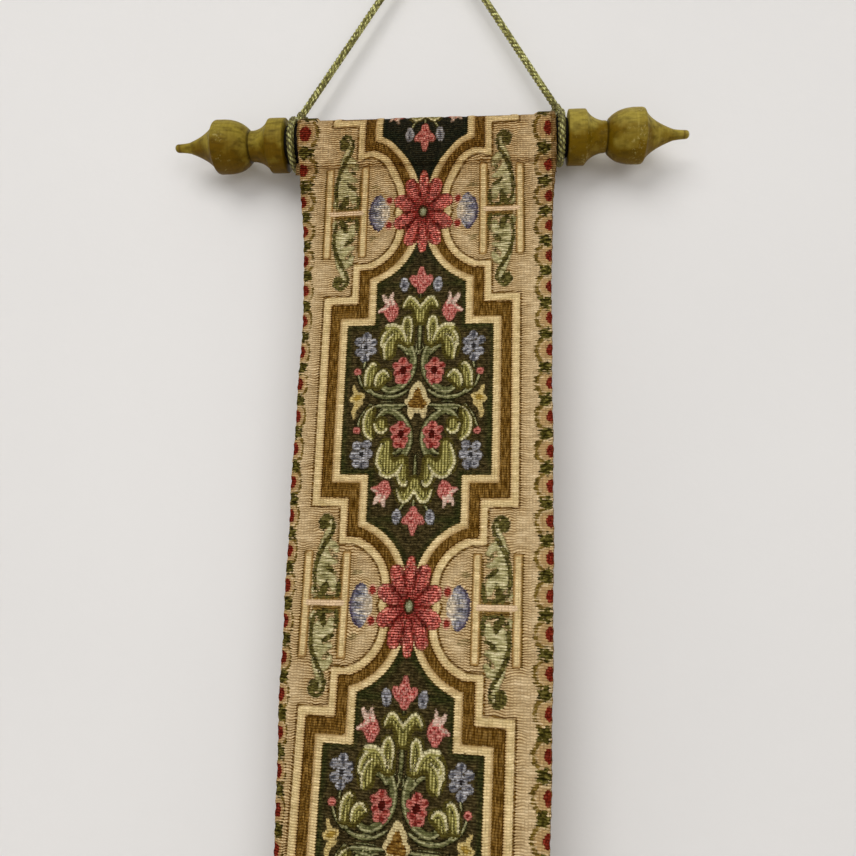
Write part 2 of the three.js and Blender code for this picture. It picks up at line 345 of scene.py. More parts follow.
def thread_material(name, filaments, lead, dark, middle, bright):
    """Metallic thread: painted shade in its hollows, gold-green on its crowns, with scattered painted
    glints
    """
    material, nodes, surface = fresh_material(name, IOR=1.5)
    lay = nodes.parts(nodes.add("ShaderNodeUVMap", uv_map="lay").outputs[0])
    given = {"Around": lay[0], "Along": lay[1], "Filaments": filaments, "Lead": lead}
    spun = nodes.add("ShaderNodeGroup", given, node_tree=spun_thread).outputs
    glint, relief = spun["Glint"], spun["Relief"]
    # painted shade: dark in the hollows between strands and filaments and at the dips of the twist,
    # gold-green on the crowns, with painted glints of the bright colour on top
    crest = nodes.scaled(nodes.channel("proud"), 2.2, -1.1, clamp=True)
    lit = nodes.times(crest, nodes.scaled(relief, 0.6, 0.4), nodes.scaled(spun["Fleck"], 0.8, 0.2))
    colour = nodes.blend(lit, dye(*dark), dye(*middle))
    colour = nodes.blend(nodes.times(glint, crest), colour, dye(*bright))
    # painted shade where it goes round the rod
    height = nodes.parts(nodes.object_place())[2]
    painted_rod_shade = nodes.scaled(height, -150.0, ROD_Z * 0.15 + 2.3, clamp=True)
    nodes.fit(surface, {
        "Base Color": nodes.blend(nodes.times(painted_rod_shade, 0.35), colour, dye(60, 42, 14)),
        "Roughness": nodes.scaled(glint, -0.3, 0.55),
        "Metallic": nodes.times(glint, 0.25),
        "Normal": nodes.bump(relief, 1.0, 0.00016),
    })
    return material


over_hook = [from_rod(x, HOOK_DEPTH, height) for x, height in APEX]
cord_route = side_points(LEFT_SIDE) + over_hook + side_points(RIGHT_SIDE)[::-1]
cord_line, cord_at = even_steps(smooth_route(cord_route, 24), CORD_STEP)
cord_side, cord_across = carried_frame(cord_line)
strands = []
for strand in range(STRANDS):
    lay = 2 * math.pi * (strand / STRANDS - cord_at / CORD_LEAD)
    outward = np.cos(lay)[:, None] * cord_side + np.sin(lay)[:, None] * cord_across
    strands.append((cord_line + (CORD_R - STRAND_R) * outward, STRAND_R, cord_at))
cord = tubes_object("twisted_cord", strands, 10, cord_line)
spun_thread = spun_thread_group()
cord.data.materials.append(thread_material(
    "gold metallic cord", 6, -6.0, (60, 54, 6), (206, 198, 76), (255, 255, 180)))
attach(cord, "root")
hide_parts("hanging_cord")


# Bindings. Five close turns of fine gold thread whip each tail to its leg, just above the rod.
BINDING_THREAD_R = 0.2
BINDING_TURNS = 5
BINDING_RISE = 1.9


def binding(name, side, node):
    """A thread wound round leg and tail together, each half turn a straight and then a bend"""
    lean = math.atan(side["leg_run"])
    middle_x = side["leg_x"] + side["leg_run"] * BINDING_RISE
    middle = from_rod(middle_x, LIFT_R + TAIL_GAP / 2, LEG_FROM + BINDING_RISE)
    reach = CORD_R + BINDING_THREAD_R
    half_turn = TAIL_GAP + math.pi * reach
    walk = np.linspace(0, 2 * BINDING_TURNS * half_turn, 44 * BINDING_TURNS + 1)
    far = walk % half_turn
    way = np.where(walk % (2 * half_turn) < half_turn, 1, -1)
    bend = np.maximum(far - TAIL_GAP, 0) / reach
    x = way * reach * np.cos(bend)
    y = way * (np.minimum(far, TAIL_GAP) - TAIL_GAP / 2 + reach * np.sin(bend))
    z = (walk / half_turn - BINDING_TURNS) * BINDING_THREAD_R
    leaning = [x * math.cos(lean) + z * math.sin(lean), y, z * math.cos(lean) - x * math.sin(lean)]
    made = tubes_object(name, [(np.column_stack(leaning) + middle, BINDING_THREAD_R, walk)], 8)
    made.data.materials.append(binding_thread)
    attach(made, "root")
    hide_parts(node)
    return made


binding_thread = thread_material(
    "gold binding thread", 3, 1.6, (62, 52, 8), (176, 162, 70), (255, 252, 184))
binding_left = binding("thread_binding_left", LEFT_SIDE, "cord_binding_left")
binding_right = binding("thread_binding_right", RIGHT_SIDE, "cord_binding_right")


# Dowel. A plain round rod of straight-grained wood, 19 mm thick and stained black, with a bored
# hole in each end for the finial's peg. The strip's sleeve and the cord's turns hide most of it.
DOWEL_HALF = 69.4
PEG_R = 4.5
PEG_LENGTH = 16.0
BORE_R = PEG_R + 0.3
BORE_FROM = DOWEL_HALF - PEG_LENGTH - 0.8


def lathe(name, profile, sides, crease):
    """Turns (radius, x) points about the rod's axis. The first and the last lie on the axis.
    Edges stay sharp where the surface breaks by more than the crease, in degrees."""
    turn = np.arange(sides) * 2 * math.pi / sides
    inner = profile[1:-1]
    points = [(profile[0][1], 0.0, 0.0)]
    for radius, x in inner:
        points += [(x, radius * math.cos(t), radius * math.sin(t)) for t in turn]
    points.append((profile[-1][1], 0.0, 0.0))
    faces = []
    last = 1 + (len(inner) - 1) * sides
    for j in range(sides):
        k = (j + 1) % sides
        faces.append((0, 1 + j, 1 + k))
        for low in range(1, last, sides):
            faces.append((low + j, low + sides + j, low + sides + k, low + k))
        faces.append((last + j, len(points) - 1, last + k))
    made = new_piece(name, [from_rod(*point) for point in points], faces)
    shell = bmesh.new()
    shell.from_mesh(made.data)
    bmesh.ops.recalc_face_normals(shell, faces=shell.faces)
    shell.to_mesh(made.data)
    shell.free()
    made.data.set_sharp_from_angle(angle=math.radians(crease))
    return made


def handled_paint_group():
    """Paint worn off a turned piece: specks on the proud places, and a mottle for handling"""
    group, nodes, given = fresh_group(
        "handled paint", "ShaderNodeTree",
        [("Speck Scale", "Float", 0.6), ("Specks", "Float", 0.5), ("Ring Pitch", "Float", 1.0),
         ("Place", "Vector")],
        [("Speck", "Float"), ("Mottle", "Float"), ("Ring", "Float")])
    spot = given["Place"]
    fine = nodes.noise(spot, given["Speck Scale"], 3.0, Roughness=0.62)
    open_spots = nodes.scaled(nodes.noise(spot, 130.0, 1.0), 0.55, fine)
    raised = nodes.plus(open_spots, nodes.times(given["Specks"], 0.3))
    rings = nodes.vector(nodes.times(nodes.parts(spot)[0], given["Ring Pitch"]))
    nodes.fit(nodes.add("NodeGroupOutput"), {
        "Speck": nodes.scaled(raised, 9.0, -8.6, clamp=True),
        "Mottle": nodes.noise(spot, 75.0, 4.0),
        "Ring": nodes.noise(rings, 1.0, 3.0),
    })
    return group


def black_stain():
    """Black stain, a little lighter along the grain"""
    material, nodes, surface = fresh_material(
        "black stained wood", Roughness=0.75, IOR=1.5, Specular_IOR_Level=0.15)
    grain = nodes.grain(nodes.object_place(), (40.0, 900.0, 900.0), 4.0)
    nodes.fit(surface, {
        "Base Color": nodes.ramp(grain, (0.35, (10, 9, 7)), (0.7, (32, 27, 20))),
        "Normal": nodes.bump(grain, 0.5, 0.0002),
    })
    return material


bored_end = [
    (0.0, BORE_FROM), (BORE_R, BORE_FROM), (BORE_R, DOWEL_HALF - 0.2), (BORE_R + 0.2, DOWEL_HALF),
    (DOWEL_R - 0.5, DOWEL_HALF), (DOWEL_R, DOWEL_HALF - 0.5),
]
rod_run = [(DOWEL_R, x) for x in np.linspace(60.0, -60.0, 13)]
dowel = lathe("black_dowel", bored_end + rod_run + [(r, -x) for r, x in reversed(bored_end)], 72, 40)
handled_paint = handled_paint_group()
dowel.data.materials.append(black_stain())
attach(dowel, "root")
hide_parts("dowel")


# Finials. Two turned wooden ends, each a collar, a neck and a pointed bulb, painted olive green
# in a satin paint that years of handling have scuffed. A peg glues each one into the dowel.
FINIAL_AT = DOWEL_HALF + 0.3


def sweep(start, *handles, steps):
    """Points on a curve with one or two handles, from (radius, x) to (radius, x), without its start"""
    p = [np.array(q, float) for q in (start,) + handles]
    run = []
    for t in np.linspace(0, 1, steps + 1)[1:]:
        level = p
        while len(level) > 1:
            level = [a + (b - a) * t for a, b in zip(level, level[1:])]
        run.append(tuple(level[0]))
    return run


collar = [
    (12.9, 0.0), (13.1, 0.15), (13.2, 0.5), (13.22, 2.5), (13.25, 4.5), (13.22, 6.8), (13.2, 7.8),
    (13.05, 8.3)]
neck = sweep((13.05, 8.3), (8.6, 11.0), (7.55, 16.6), steps=12)
neck += [(7.55, 17.4), (7.45, 18.2), (7.25, 18.6), (7.2, 18.8), (7.5, 19.0), (8.2, 19.2)]
bulb = sweep((8.2, 19.2), (10.6, 21.4), (12.9, 24.5), (13.2, 31.0), steps=16)
bulb += [(13.2, 32.5), (13.2, 34.2), (13.2, 34.6)]
bulb += sweep((13.2, 34.6), (13.2, 35.9), (12.4, 36.5), steps=6)
point = sweep((12.4, 36.5), (9.0, 37.8), (5.5, 42.8), (2.7, 50.5), steps=20)
point += sweep((2.7, 50.5), (2.2, 53.0), (2.1, 56.2), steps=6)
point += sweep((2.1, 56.2), (2.1, 58.3), (0.0, 58.3), steps=8)
peg = [
    (0.0, -PEG_LENGTH), (PEG_R - 0.5, -PEG_LENGTH), (PEG_R, -PEG_LENGTH + 0.5), (PEG_R, -0.2),
    (PEG_R + 0.3, 0.0)]


def olive_paint(name, direction, top, low, under, speck_share):
    """Painted finial. The paint goes ochre where it is worn thin, and pale in its scuffs; painted shade
    makes it darker below.
    """
    material, nodes, surface = fresh_material(name, IOR=1.45, Specular_IOR_Level=0.09)
    spot = nodes.object_place()
    given = {"Place": spot, "Speck Scale": 780.0, "Specks": speck_share, "Ring Pitch": 900.0}
    worn = nodes.add("ShaderNodeGroup", given, node_tree=handled_paint).outputs
    mottle, ring = worn["Mottle"], worn["Ring"]
    place = nodes.parts(spot)
    far = nodes.calc("SUBTRACT", nodes.times(place[0], direction / MM), FINIAL_AT)
    height = nodes.scaled(place[2], 1 / MM, -ROD_Z)

    def band(slope, shift):
        """1 on a ring round the finial, fading to 0 on both sides"""
        off = nodes.calc("ABSOLUTE", nodes.scaled(far, slope, shift))
        return nodes.calc("SUBTRACT", 1.0, off, clamp=True)

    # painted shade: green and lighter on top, warmer and darker below, under a random mottle; the paint is
    # also thin on the turning lines and brush marks
    shade_and_mottle = nodes.plus(nodes.scaled(height, 0.035, 0.5), nodes.scaled(mottle, 1.9, -0.95))
    colour = nodes.ramp(shade_and_mottle, (0.25, low), (0.7, top))
    brushed = nodes.grain(spot, (170.0, 480.0, 480.0), 3.0)
    # pale scuffs on the shoulder, the bulb's widest part and the tip
    proud = nodes.larger(band(0.35, -2.9), band(0.16, -5.2), nodes.scaled(far, 0.3, -16.3, clamp=True))
    scuffed = nodes.times(worn["Speck"], nodes.scaled(proud, 0.8, 0.2, clamp=True))
    # last, a brown ring where the paint stops, bare wood past it, and a dark ring in the neck's groove
    for mask, share, tint in [
        (nodes.scaled(ring, 1.7, -0.6, clamp=True), 0.45, under),
        (nodes.scaled(brushed, 3.4, -1.55, clamp=True), 0.72, under),
        (scuffed, 0.6, (176, 162, 98)),
        (band(1.4, -78.0), 0.7, (84, 56, 18)),
        (nodes.scaled(far, 1.3, -74.2, clamp=True), 0.55, (168, 158, 108)),
        (band(1.3, -24.4), 0.75, (40, 32, 8)),
    ]:
        colour = nodes.blend(nodes.times(mask, share), colour, dye(*tint))
    nodes.fit(surface, {
        "Base Color": colour,
        "Roughness": nodes.scaled(mottle, 0.3, 0.36),
        "Normal": nodes.bump(nodes.scaled(ring, 0.6, nodes.times(mottle, 0.5)), 0.55, 0.0003),
    })
    return material


for side, direction, top, low, under, specks in [
    ("left", -1, (148, 130, 46), (98, 72, 0), (68, 52, 0), 0.12),
    ("right", 1, (162, 144, 60), (108, 82, 0), (70, 54, 0), 0.3),
]:
    turned = [(radius, direction * (FINIAL_AT + x)) for radius, x in peg + collar + neck + bulb + point]
    finial = lathe("turned_finial_" + side, turned, 112, 42)
    finial.data.materials.append(olive_paint("olive paint, " + side, direction, top, low, under, specks))
    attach(finial, "root")
    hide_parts("finial_" + side)


# Tapestry. One strip of jacquard-woven cotton with a weft rib of 1.09 mm and a repeat of 181 mm.
# Its long edges and its end are folded to the back and hemmed, and its top is turned over the
# rod and sewn down 19 mm below the rod's axis, which makes the sleeve that it hangs from.
CLOTH_T = 1.3
HEM_T = 1.2
HEM_WIDTH = 9.0
HEM_STEP = 0.8
HANG = 802.0
BOTTOM_HEM = 20.0
SLEEVE_R = DOWEL_R + 0.45
FLAP_Y = -8.3
FLAP_BEND = 4.0
FLAP_END = 22.0
SEAM_DROP = 19.0
FLARE = 25.0
STRIP_X = 0.7
RIB_PITCH = 1.09
REPEAT = 181.0
FIRST_HEART = 134.85
FACE_COLUMNS = 106
BACK_ROWS = 261
EDGE_R = 1.0

# How the strip hangs, by distance below the rod's axis: shift of its middle line, rise of its
# weft rows to the right, turn about the vertical, and its two folded edges
STRIP = np.array([
    (-90, 0.0, 0.012, 0.0, -63.1, 62.9),
    (0, 0.0, 0.011, 0.0, -63.1, 62.9),
    (25, 0.1, 0.01, 0.01, -60.4, 62.0),
    (52, 0.1, 0.008, 0.02, -57.6, 60.2),
    (90, 0.0, 0.005, 0.035, -55.3, 59.4),
    (180, -1.0, -0.005, 0.07, -55.6, 59.8),
    (265, -2.7, -0.019, 0.103, -54.0, 59.8),
    (325, -4.4, -0.03, 0.126, -51.0, 59.7),
    (450, -8.2, -0.028, 0.135, -50.4, 59.6),
    (620, -12.2, -0.018, 0.11, -51.2, 59.5),
    (802, -14.6, -0.008, 0.07, -52.2, 59.5),
    (900, -15.2, -0.006, 0.06, -52.4, 59.5),
])
SHIFT, SLOPE, TWIST, LEFT, RIGHT = range(1, 6)


def strip_at(column, below):
    """Smooth value of one column of the table at each distance below the rod"""
    heights, values = STRIP[:, 0], STRIP[:, column]
    i = np.clip(np.searchsorted(heights, below, side="right") - 1, 0, len(STRIP) - 2)
    before, after = np.maximum(i - 1, 0), np.minimum(i + 2, len(STRIP) - 1)
    width = heights[i + 1] - heights[i]
    t = (below - heights[i]) / width
    start = (values[i + 1] - values[before]) / (heights[i + 1] - heights[before]) * width
    end = (values[after] - values[i]) / (heights[after] - heights[i]) * width
    return ((2 * t ** 3 - 3 * t ** 2 + 1) * values[i] + (t ** 3 - 2 * t ** 2 + t) * start
            + (3 * t ** 2 - 2 * t ** 3) * values[i + 1] + (t ** 3 - t ** 2) * end)


def ease(t):
    """0 below 0 and 1 above 1, with a soft start and a soft end between"""
    c = np.clip(t, 0, 1)
    return c * c * (3 - 2 * c)


def arc(turn):
    return np.column_stack([np.cos(turn), np.sin(turn)])


def side_of(directions):
    """The same directions, a quarter turn to the left"""
    return np.column_stack([-directions[:, 1], directions[:, 0]])


def section_table():
    """The sheet's inner line from the side: up the front, over the rod, and in to the seam.
    Each row is a distance along it, a depth, a height and the line's direction there."""
    flap = np.array([FLAP_Y + FLAP_BEND, -(SEAM_DROP - 2)])
    leave = math.atan2(flap[1], flap[0]) + math.acos((SLEEVE_R + FLAP_BEND) / np.hypot(*flap))
    over = np.linspace(math.pi, leave, 240)
    under = np.linspace(leave - math.pi, -math.pi, 60)
    parts = [
        ([(-SLEEVE_R, -HANG), (-SLEEVE_R, -0.01)], [(0, 1), (0, 1)]),
        (SLEEVE_R * arc(over), -side_of(arc(over))),
        (flap + FLAP_BEND * arc(under), side_of(arc(under))),
        ([(FLAP_Y, -SEAM_DROP), (FLAP_Y, -FLAP_END)], [(0, -1), (0, -1)]),
    ]
    points = np.vstack([part[0] for part in parts])
    along = np.vstack([part[1] for part in parts])
    reach = np.concatenate([[0], np.cumsum(np.hypot(*np.diff(points, axis=0).T))])
    return np.column_stack([reach, points, along])


SECTION = section_table()
STRIP_LENGTH = SECTION[-1, 0]


def on_strip(station, across, lift):
    """Points of the cloth, in millimetres: station up the strip, across it, and off its inner line"""
    below = HANG - station
    climbed = station + strip_at(SLOPE, below) * across
    at = np.clip(climbed, 0, STRIP_LENGTH)
    depth, height, run_d, run_h = [np.interp(at, SECTION[:, 0], SECTION[:, i]) for i in (1, 2, 3, 4)]
    size = np.hypot(run_d, run_h)
    run_d, run_h = run_d / size, run_h / size
    overrun = climbed - at
    twist = strip_at(TWIST, below)
    return np.stack([
        STRIP_X + strip_at(SHIFT, below) + across * np.cos(twist),
        ROD_Y + depth - run_h * lift + run_d * overrun - across * np.sin(twist),
        ROD_Z + height + run_d * lift + run_h * overrun,
    ], axis=-1)


def frond(u, v, points, widths, trace=None):
    """Level of a swelling line: below zero inside. widths: half-widths at base, middle, tip.
    trace, if given, holds arrays for the nearest level so far and, at the nearest stroke, the
    distance along it, how far to its left a point lies, and its half-width."""
    run = smooth_route(points, 7, spacing=0)
    best = np.full(u.shape, 99.0)
    near = (u > run[:, 0].min() - 8) & (u < run[:, 0].max() + 8)
    near &= (v > run[:, 1].min() - 8) & (v < run[:, 1].max() + 8)
    x, y = u[near], v[near]
    level = np.full(x.shape, 99.0)
    far, left, wide = np.zeros(x.shape), np.zeros(x.shape), np.zeros(x.shape)
    lengths = np.hypot(*np.diff(run, axis=0).T)
    reach = np.concatenate([[0], np.cumsum(lengths)]) / lengths.sum()
    for i, (a, b) in enumerate(zip(run, run[1:])):
        d = b - a
        t = np.clip(((x - a[0]) * d[0] + (y - a[1]) * d[1]) / (d @ d), 0, 1)
        s = reach[i] + t * (reach[i + 1] - reach[i])
        half = np.interp(s, [0, 0.5, 1], widths)
        away = np.hypot(x - a[0] - t * d[0], y - a[1] - t * d[1])
        turn = d[0] * (y - a[1]) - d[1] * (x - a[0])
        closer = away - half < level
        far = np.where(closer, s * lengths.sum(), far)
        left = np.where(closer, np.copysign(away, turn), left)
        wide = np.where(closer, half, wide)
        level = np.where(closer, away - half, level)
    best[near] = level
    if trace is not None:
        closer = level < trace[0][near]
        for kept, new in zip(trace, (level, far, left, wide)):
            kept[near] = np.where(closer, new, kept[near])
    return best


def lobed(u, v, at, lobes):
    """Level of a floret made of round lobes"""
    return either(*[np.hypot(u - at[0] - x, v - at[1] - y) - r for x, y, r in lobes])


def box(u, v, half_u, half_v, at=(0, 0)):
    """Level of an upright box, half_u and half_v to each side of its middle"""
    a = np.abs(u - at[0]) - half_u
    b = np.abs(v - at[1]) - half_v
    return np.where((a > 0) & (b > 0), np.hypot(np.maximum(a, 0), np.maximum(b, 0)), np.maximum(a, b))


def either(*levels):
    """Level of several shapes joined"""
    return np.minimum.reduce(levels)


# Medallion outlines from the field outwards: half-widths and half-heights of the wide and
# the narrow part, and radius of the quarter circle that draws the neck in
OUTLINES = {
    "field": (33.2, 34.3, 20.4, 54.6, 30.2),
    "inner": (36.8, 38, 24, 57.6, 26.9),
    "brown": (41.3, 44.6, 28.6, 61.6, 22.9),
    "outer": (45, 48.4, 32, 64.6, 19.4),
}
NECK_AT = (31.4, 83.2)


def medallion(u, v, name):
    """Level of one outline: two boxes joined, drawn in at the neck"""
    wide, wide_top, narrow, narrow_top, neck = OUTLINES[name]
    a, b = np.abs(u), np.abs(v)
    level = either(box(a, b, wide, wide_top), box(a, b, narrow, narrow_top))
    ring = neck - np.hypot(a - NECK_AT[0], b - NECK_AT[1])
    throat = np.maximum(ring, np.maximum(a - narrow, narrow_top - 1 - b))
    return either(level, throat)


# Each row below is a drawn stroke: points from base to tip, and half-widths at the base,
# middle and tip. u is taken from the middle line, v from the heart of the medallion.

# Petals of the rosette, in its right half, and the angles of the folds between them
ROSETTE_PETALS = [
    ([(3, 1.8), (7.6, 4.2), (10.4, 5.6)], (1.2, 3.9, 3.4)),
    ([(2, 4), (4.6, 9.6), (6, 14.6)], (1.2, 3.3, 2.7)),
    ([(0, 4), (0, 12.5), (0, 19.4)], (1.4, 3.1, 1.4)),
]
FOLD_ANGLES = (0, 48, 79, 101)

# Tulips and pointed flowers
PINK = [
    ([(0, 51.4), (0, 55.4), (0, 61.8)], (1.9, 2.5, 1)),
    ([(1, 54.2), (2.6, 55.2), (3.9, 57)], (2.2, 2.1, 1.5)),
    ([(13.4, 37.4), (13.4, 41.4), (13.9, 45)], (1.5, 3.5, 2.2)),
    ([(15, 42.6), (17, 42), (19, 41.1)], (1.6, 1.2, 0.6)),
    ([(0, -50), (0, -54), (0, -60)], (1.7, 2.4, 0.9)),
    ([(1, -53), (2.4, -53.8), (3.8, -54.8)], (2.1, 1.9, 1.3)),
    ([(13, -38.6), (13.6, -41.6), (14.4, -44.6)], (1.7, 3.4, 2.2)),
    ([(15.4, -41.4), (17, -41), (18.6, -40.8)], (1.6, 1.3, 0.7)),
]
PALE_TIPS = [
    ([(12.6, 44.6), (13.5, 47.4), (13.2, 50)], (0.8, 0.9, 0.5)),
    ([(14.8, 44.6), (16.3, 46.6), (17.3, 48.8)], (0.8, 1.1, 0.7)),
    ([(15.2, 43.2), (17.2, 42.2), (19.1, 41.2)], (0.4, 0.7, 0.6)),
    ([(13, -44.4), (13.6, -46.6), (13, -48.6)], (0.8, 1, 0.5)),
    ([(15, -43.8), (16.4, -45.6), (17.2, -47.6)], (0.8, 1.1, 0.6)),
    ([(15.6, -42.4), (17.2, -41.6), (18.8, -40.9)], (0.4, 0.7, 0.6)),
]

# Round lobes of a floret from its own heart: sideways, upwards, radius
RED_LOBES = [
    (0.2, 3.9, 2.1), (3.2, 2.2, 1.7), (-2.2, 1.4, 2), (2.4, -1.4, 1.9), (-1.5, -2.6, 2), (1.6, -4.4, 1.9),
    (-0.8, -5, 1.6), (0.4, 0.2, 2)]
BLUE_LOBES = [
    [(-0.3, 5.2, 2), (-3.1, 2.4, 1.8), (3.3, 2.8, 1.9), (-2.9, -1.7, 2), (2.9, -2.3, 2),
     (0.3, -5, 2), (0, 0.4, 2.2)],
    [(-2.1, 4.5, 2), (2.4, 4, 2), (-3.2, 0.2, 1.9), (3.4, -0.4, 1.9), (-1.3, -4.3, 2.1),
     (1.9, -4, 2), (0, -0.2, 2.2)],
]
RED_AT = [(7, 13), (6.9, -16.4)]
BLUE_AT = [(24.5, 24), (24.1, -25.6)]
PINK_DOTS = [(27.7, 12.4), (26.9, -14.8)]
BLUE_BUDS = [
    ([(7.6, 51.8), (7.7, 54), (8, 56)], (1.5, 2.1, 1.4)),
    ([(7.2, -51.2), (7.3, -53.2), (7.6, -54.8)], (1.5, 2.1, 1.4)),
]

# Leaves: the filled blades
LEAVES = [
    ([(0.2, 37), (0.6, 41), (2.6, 44.6), (4.8, 46), (6.8, 44)], (1.4, 1.9, 0.9)),
    ([(5.3, 26.5), (5.6, 31.5), (5.9, 36.4)], (1.4, 1.9, 1.6)),
    ([(6.6, 27.4), (8.8, 30.6), (12.2, 30.8), (14.2, 27.2), (14.2, 21.6)], (1.4, 3.6, 2.2)),
    ([(20.4, 14.6), (21.8, 11.6), (22.6, 6.6)], (1.4, 1.8, 1.2)),
    ([(15.4, 10.6), (17, 9.4), (18.6, 6)], (1.9, 1.8, 1)),
    ([(13.2, -21), (14.2, -26.4), (12.8, -31), (9, -31.8), (5.8, -28.6)], (1.6, 3.4, 1.4)),
    ([(5.6, -31), (6, -35), (4.8, -38.4)], (1.4, 2, 1.2)),
    ([(0.2, -37.4), (1.4, -41.6), (4.6, -44.8), (6.8, -42)], (1.2, 1.9, 0.8)),
    ([(16, -11), (16.4, -13.2), (15, -14.4)], (1.4, 1.9, 1.2)),
    ([(20.8, -5.6), (22.4, -11), (21, -17)], (0.9, 1.7, 1.3)),
]
# and the light ridges that edge them, each drawn so that its outer side is on the left
LIGHTS = [
    ([(-0.6, 41.4), (1.6, 44.4), (4.6, 47.4), (6.6, 45.6), (7.5, 43.2)], (0.8, 1.15, 0.7)),
    ([(4.3, 27), (4.1, 32.4), (4.6, 36.6), (6, 38), (7.3, 35.6), (7.6, 31.6)], (0.5, 0.95, 0.8)),
    ([(6.6, 27.4), (8.2, 31.2), (11.2, 33.8), (14.6, 33.6)], (0.8, 1.25, 1.5)),
    ([(13.4, 32.4), (15.8, 30), (16.9, 26.8), (17.1, 24.4)], (0.8, 1.05, 0.7)),
    ([(12, 29.6), (14.2, 27.4), (15.6, 23.6), (15.3, 18.8)], (0.5, 0.95, 0.8)),
    ([(19.8, 15.2), (21.2, 15.8), (23.2, 12), (23.7, 6.2)], (0.8, 1.1, 0.7)),
    ([(13.8, 10.4), (15.8, 12.4), (18.2, 10.4), (19.2, 6.4)], (0.8, 1.15, 0.8)),
    ([(15, -21.4), (16.3, -25.6), (16.6, -29.4), (15, -32.4)], (0.8, 1.15, 1)),
    ([(15, -34), (11.8, -35.2), (8.6, -33.6), (6.4, -30.6)], (1, 1.15, 0.8)),
    ([(7.4, -33.6), (6.8, -36.6), (4.8, -39.2), (3.8, -37.8)], (0.7, 1.1, 0.7)),
    ([(7.4, -41.4), (5.6, -45.4), (3.4, -45.8), (1, -42.6), (-0.2, -40.2)], (0.7, 1.1, 0.7)),
    ([(18.6, -12), (17.4, -14.8), (15.2, -15.4), (13.7, -13.9)], (0.8, 1.1, 0.7)),
    ([(19.8, -4.2), (22.4, -6.6), (23.5, -11.2), (22.6, -16), (20, -18.4)], (0.5, 1.05, 0.9)),
]

# Grey-green stems, scrolls and twigs, with their pale thread on the left of each
SAGE = [
    ([(17.9, 9.4), (16.6, 5.8), (13, 3.6), (9, 4.8), (5.2, 8.4), (3, 13.4), (2.6, 19), (4.4, 24.4),
      (7.8, 28), (11.4, 28.2)], (1.1, 1.85, 1)),
    ([(11, -30.2), (7.4, -28.6), (4.4, -24.4), (3.2, -18.6), (4.6, -12.6), (7.8, -8.4), (11.6, -5.8),
      (15.2, -6.6), (17.8, -9.8)], (1, 1.85, 1.1)),
    ([(5, 3.4), (9.5, 0.9), (15, 0.5), (20.4, 2.4), (22.8, 6.4)], (0.5, 0.85, 0.6)),
    ([(4.8, -3), (9.6, -3.4), (15, -3.4), (19.4, -4.2), (21.6, -6.8)], (0.5, 0.85, 0.6)),
    ([(5.4, 20.6), (8.2, 24), (11, 24.4)], (0.5, 0.9, 0.5)),
    ([(5.2, -20), (7.8, -24.2), (10.8, -25.4)], (0.5, 0.9, 0.5)),
    ([(0, 22), (0.2, 29), (0.3, 36)], (0.4, 0.6, 0.6)),
    ([(0.2, -37), (0.1, -31), (0, -26)], (0.6, 0.6, 0.4)),
    ([(0.4, 43), (0, 47), (0, 50.6)], (0.5, 0.5, 0.5)),
    ([(0, -49), (0.2, -46), (0.4, -42)], (0.5, 0.5, 0.5)),
    ([(3.6, -46.4), (5, -48.2), (6.2, -50)], (0.4, 0.5, 0.5)),
    ([(22.4, 3), (25.8, 6.6), (27.3, 10.6)], (0.45, 0.5, 0.45)),
    ([(21.6, -3.4), (24.6, -7.6), (26.4, -12.2)], (0.45, 0.5, 0.45)),
    ([(25, 14.6), (24.6, 16.8), (24.4, 18.4)], (0.4, 0.5, 0.4)),
]

# Leaf winding between the bars: heights are down from the heart of the rosette
WINDING = [
    ([(36, 36.4), (36.8, 31), (38.4, 25), (39.2, 18), (38.4, 10)], (0.9, 2.3, 2.9)),
    ([(37.4, 27), (34.6, 25), (33, 22.6)], (1.5, 1.8, 1.2)),
    ([(37.4, 20.4), (35.2, 18), (33, 17.4)], (1.6, 1.7, 1)),
    ([(36.6, 12.4), (34.2, 10.6), (33.4, 6.6)], (1.8, 2.1, 1.4)),
    ([(41.2, 3.2), (42.4, 5.2), (41.8, 7.6)], (0.6, 0.9, 0.7)),
]
WINDING_DARK = [
    ([(36.4, 37.4), (34.7, 34.4), (35.3, 30.6), (38.2, 25.6), (40.6, 20.6), (42, 15), (42, 9.6),
      (41, 5.2)], (0.8, 1.15, 0.9)),
    ([(36.4, 37.4), (38.4, 37.6), (40.4, 35.6)], (0.8, 1.2, 1.5)),
    ([(38.6, 34.4), (39.1, 33.8), (39.4, 33.2)], (2, 2.5, 2)),
    ([(36.8, 16), (34.8, 14.4), (32.6, 12.8)], (0.7, 1.25, 0.9)),
    ([(36.6, 9.4), (37.4, 6.2), (39, 3.8)], (0.8, 1.9, 1.6)),
    ([(31.2, 10.4), (31.1, 6.4), (31.8, 3)], (0.6, 1.1, 1)),
    ([(35, 22.4), (34, 20.6), (32.8, 20)], (0.5, 0.7, 0.5)),
    ([(33.4, 3.4), (34.8, 3), (36.4, 3)], (0.7, 0.9, 0.9)),
]

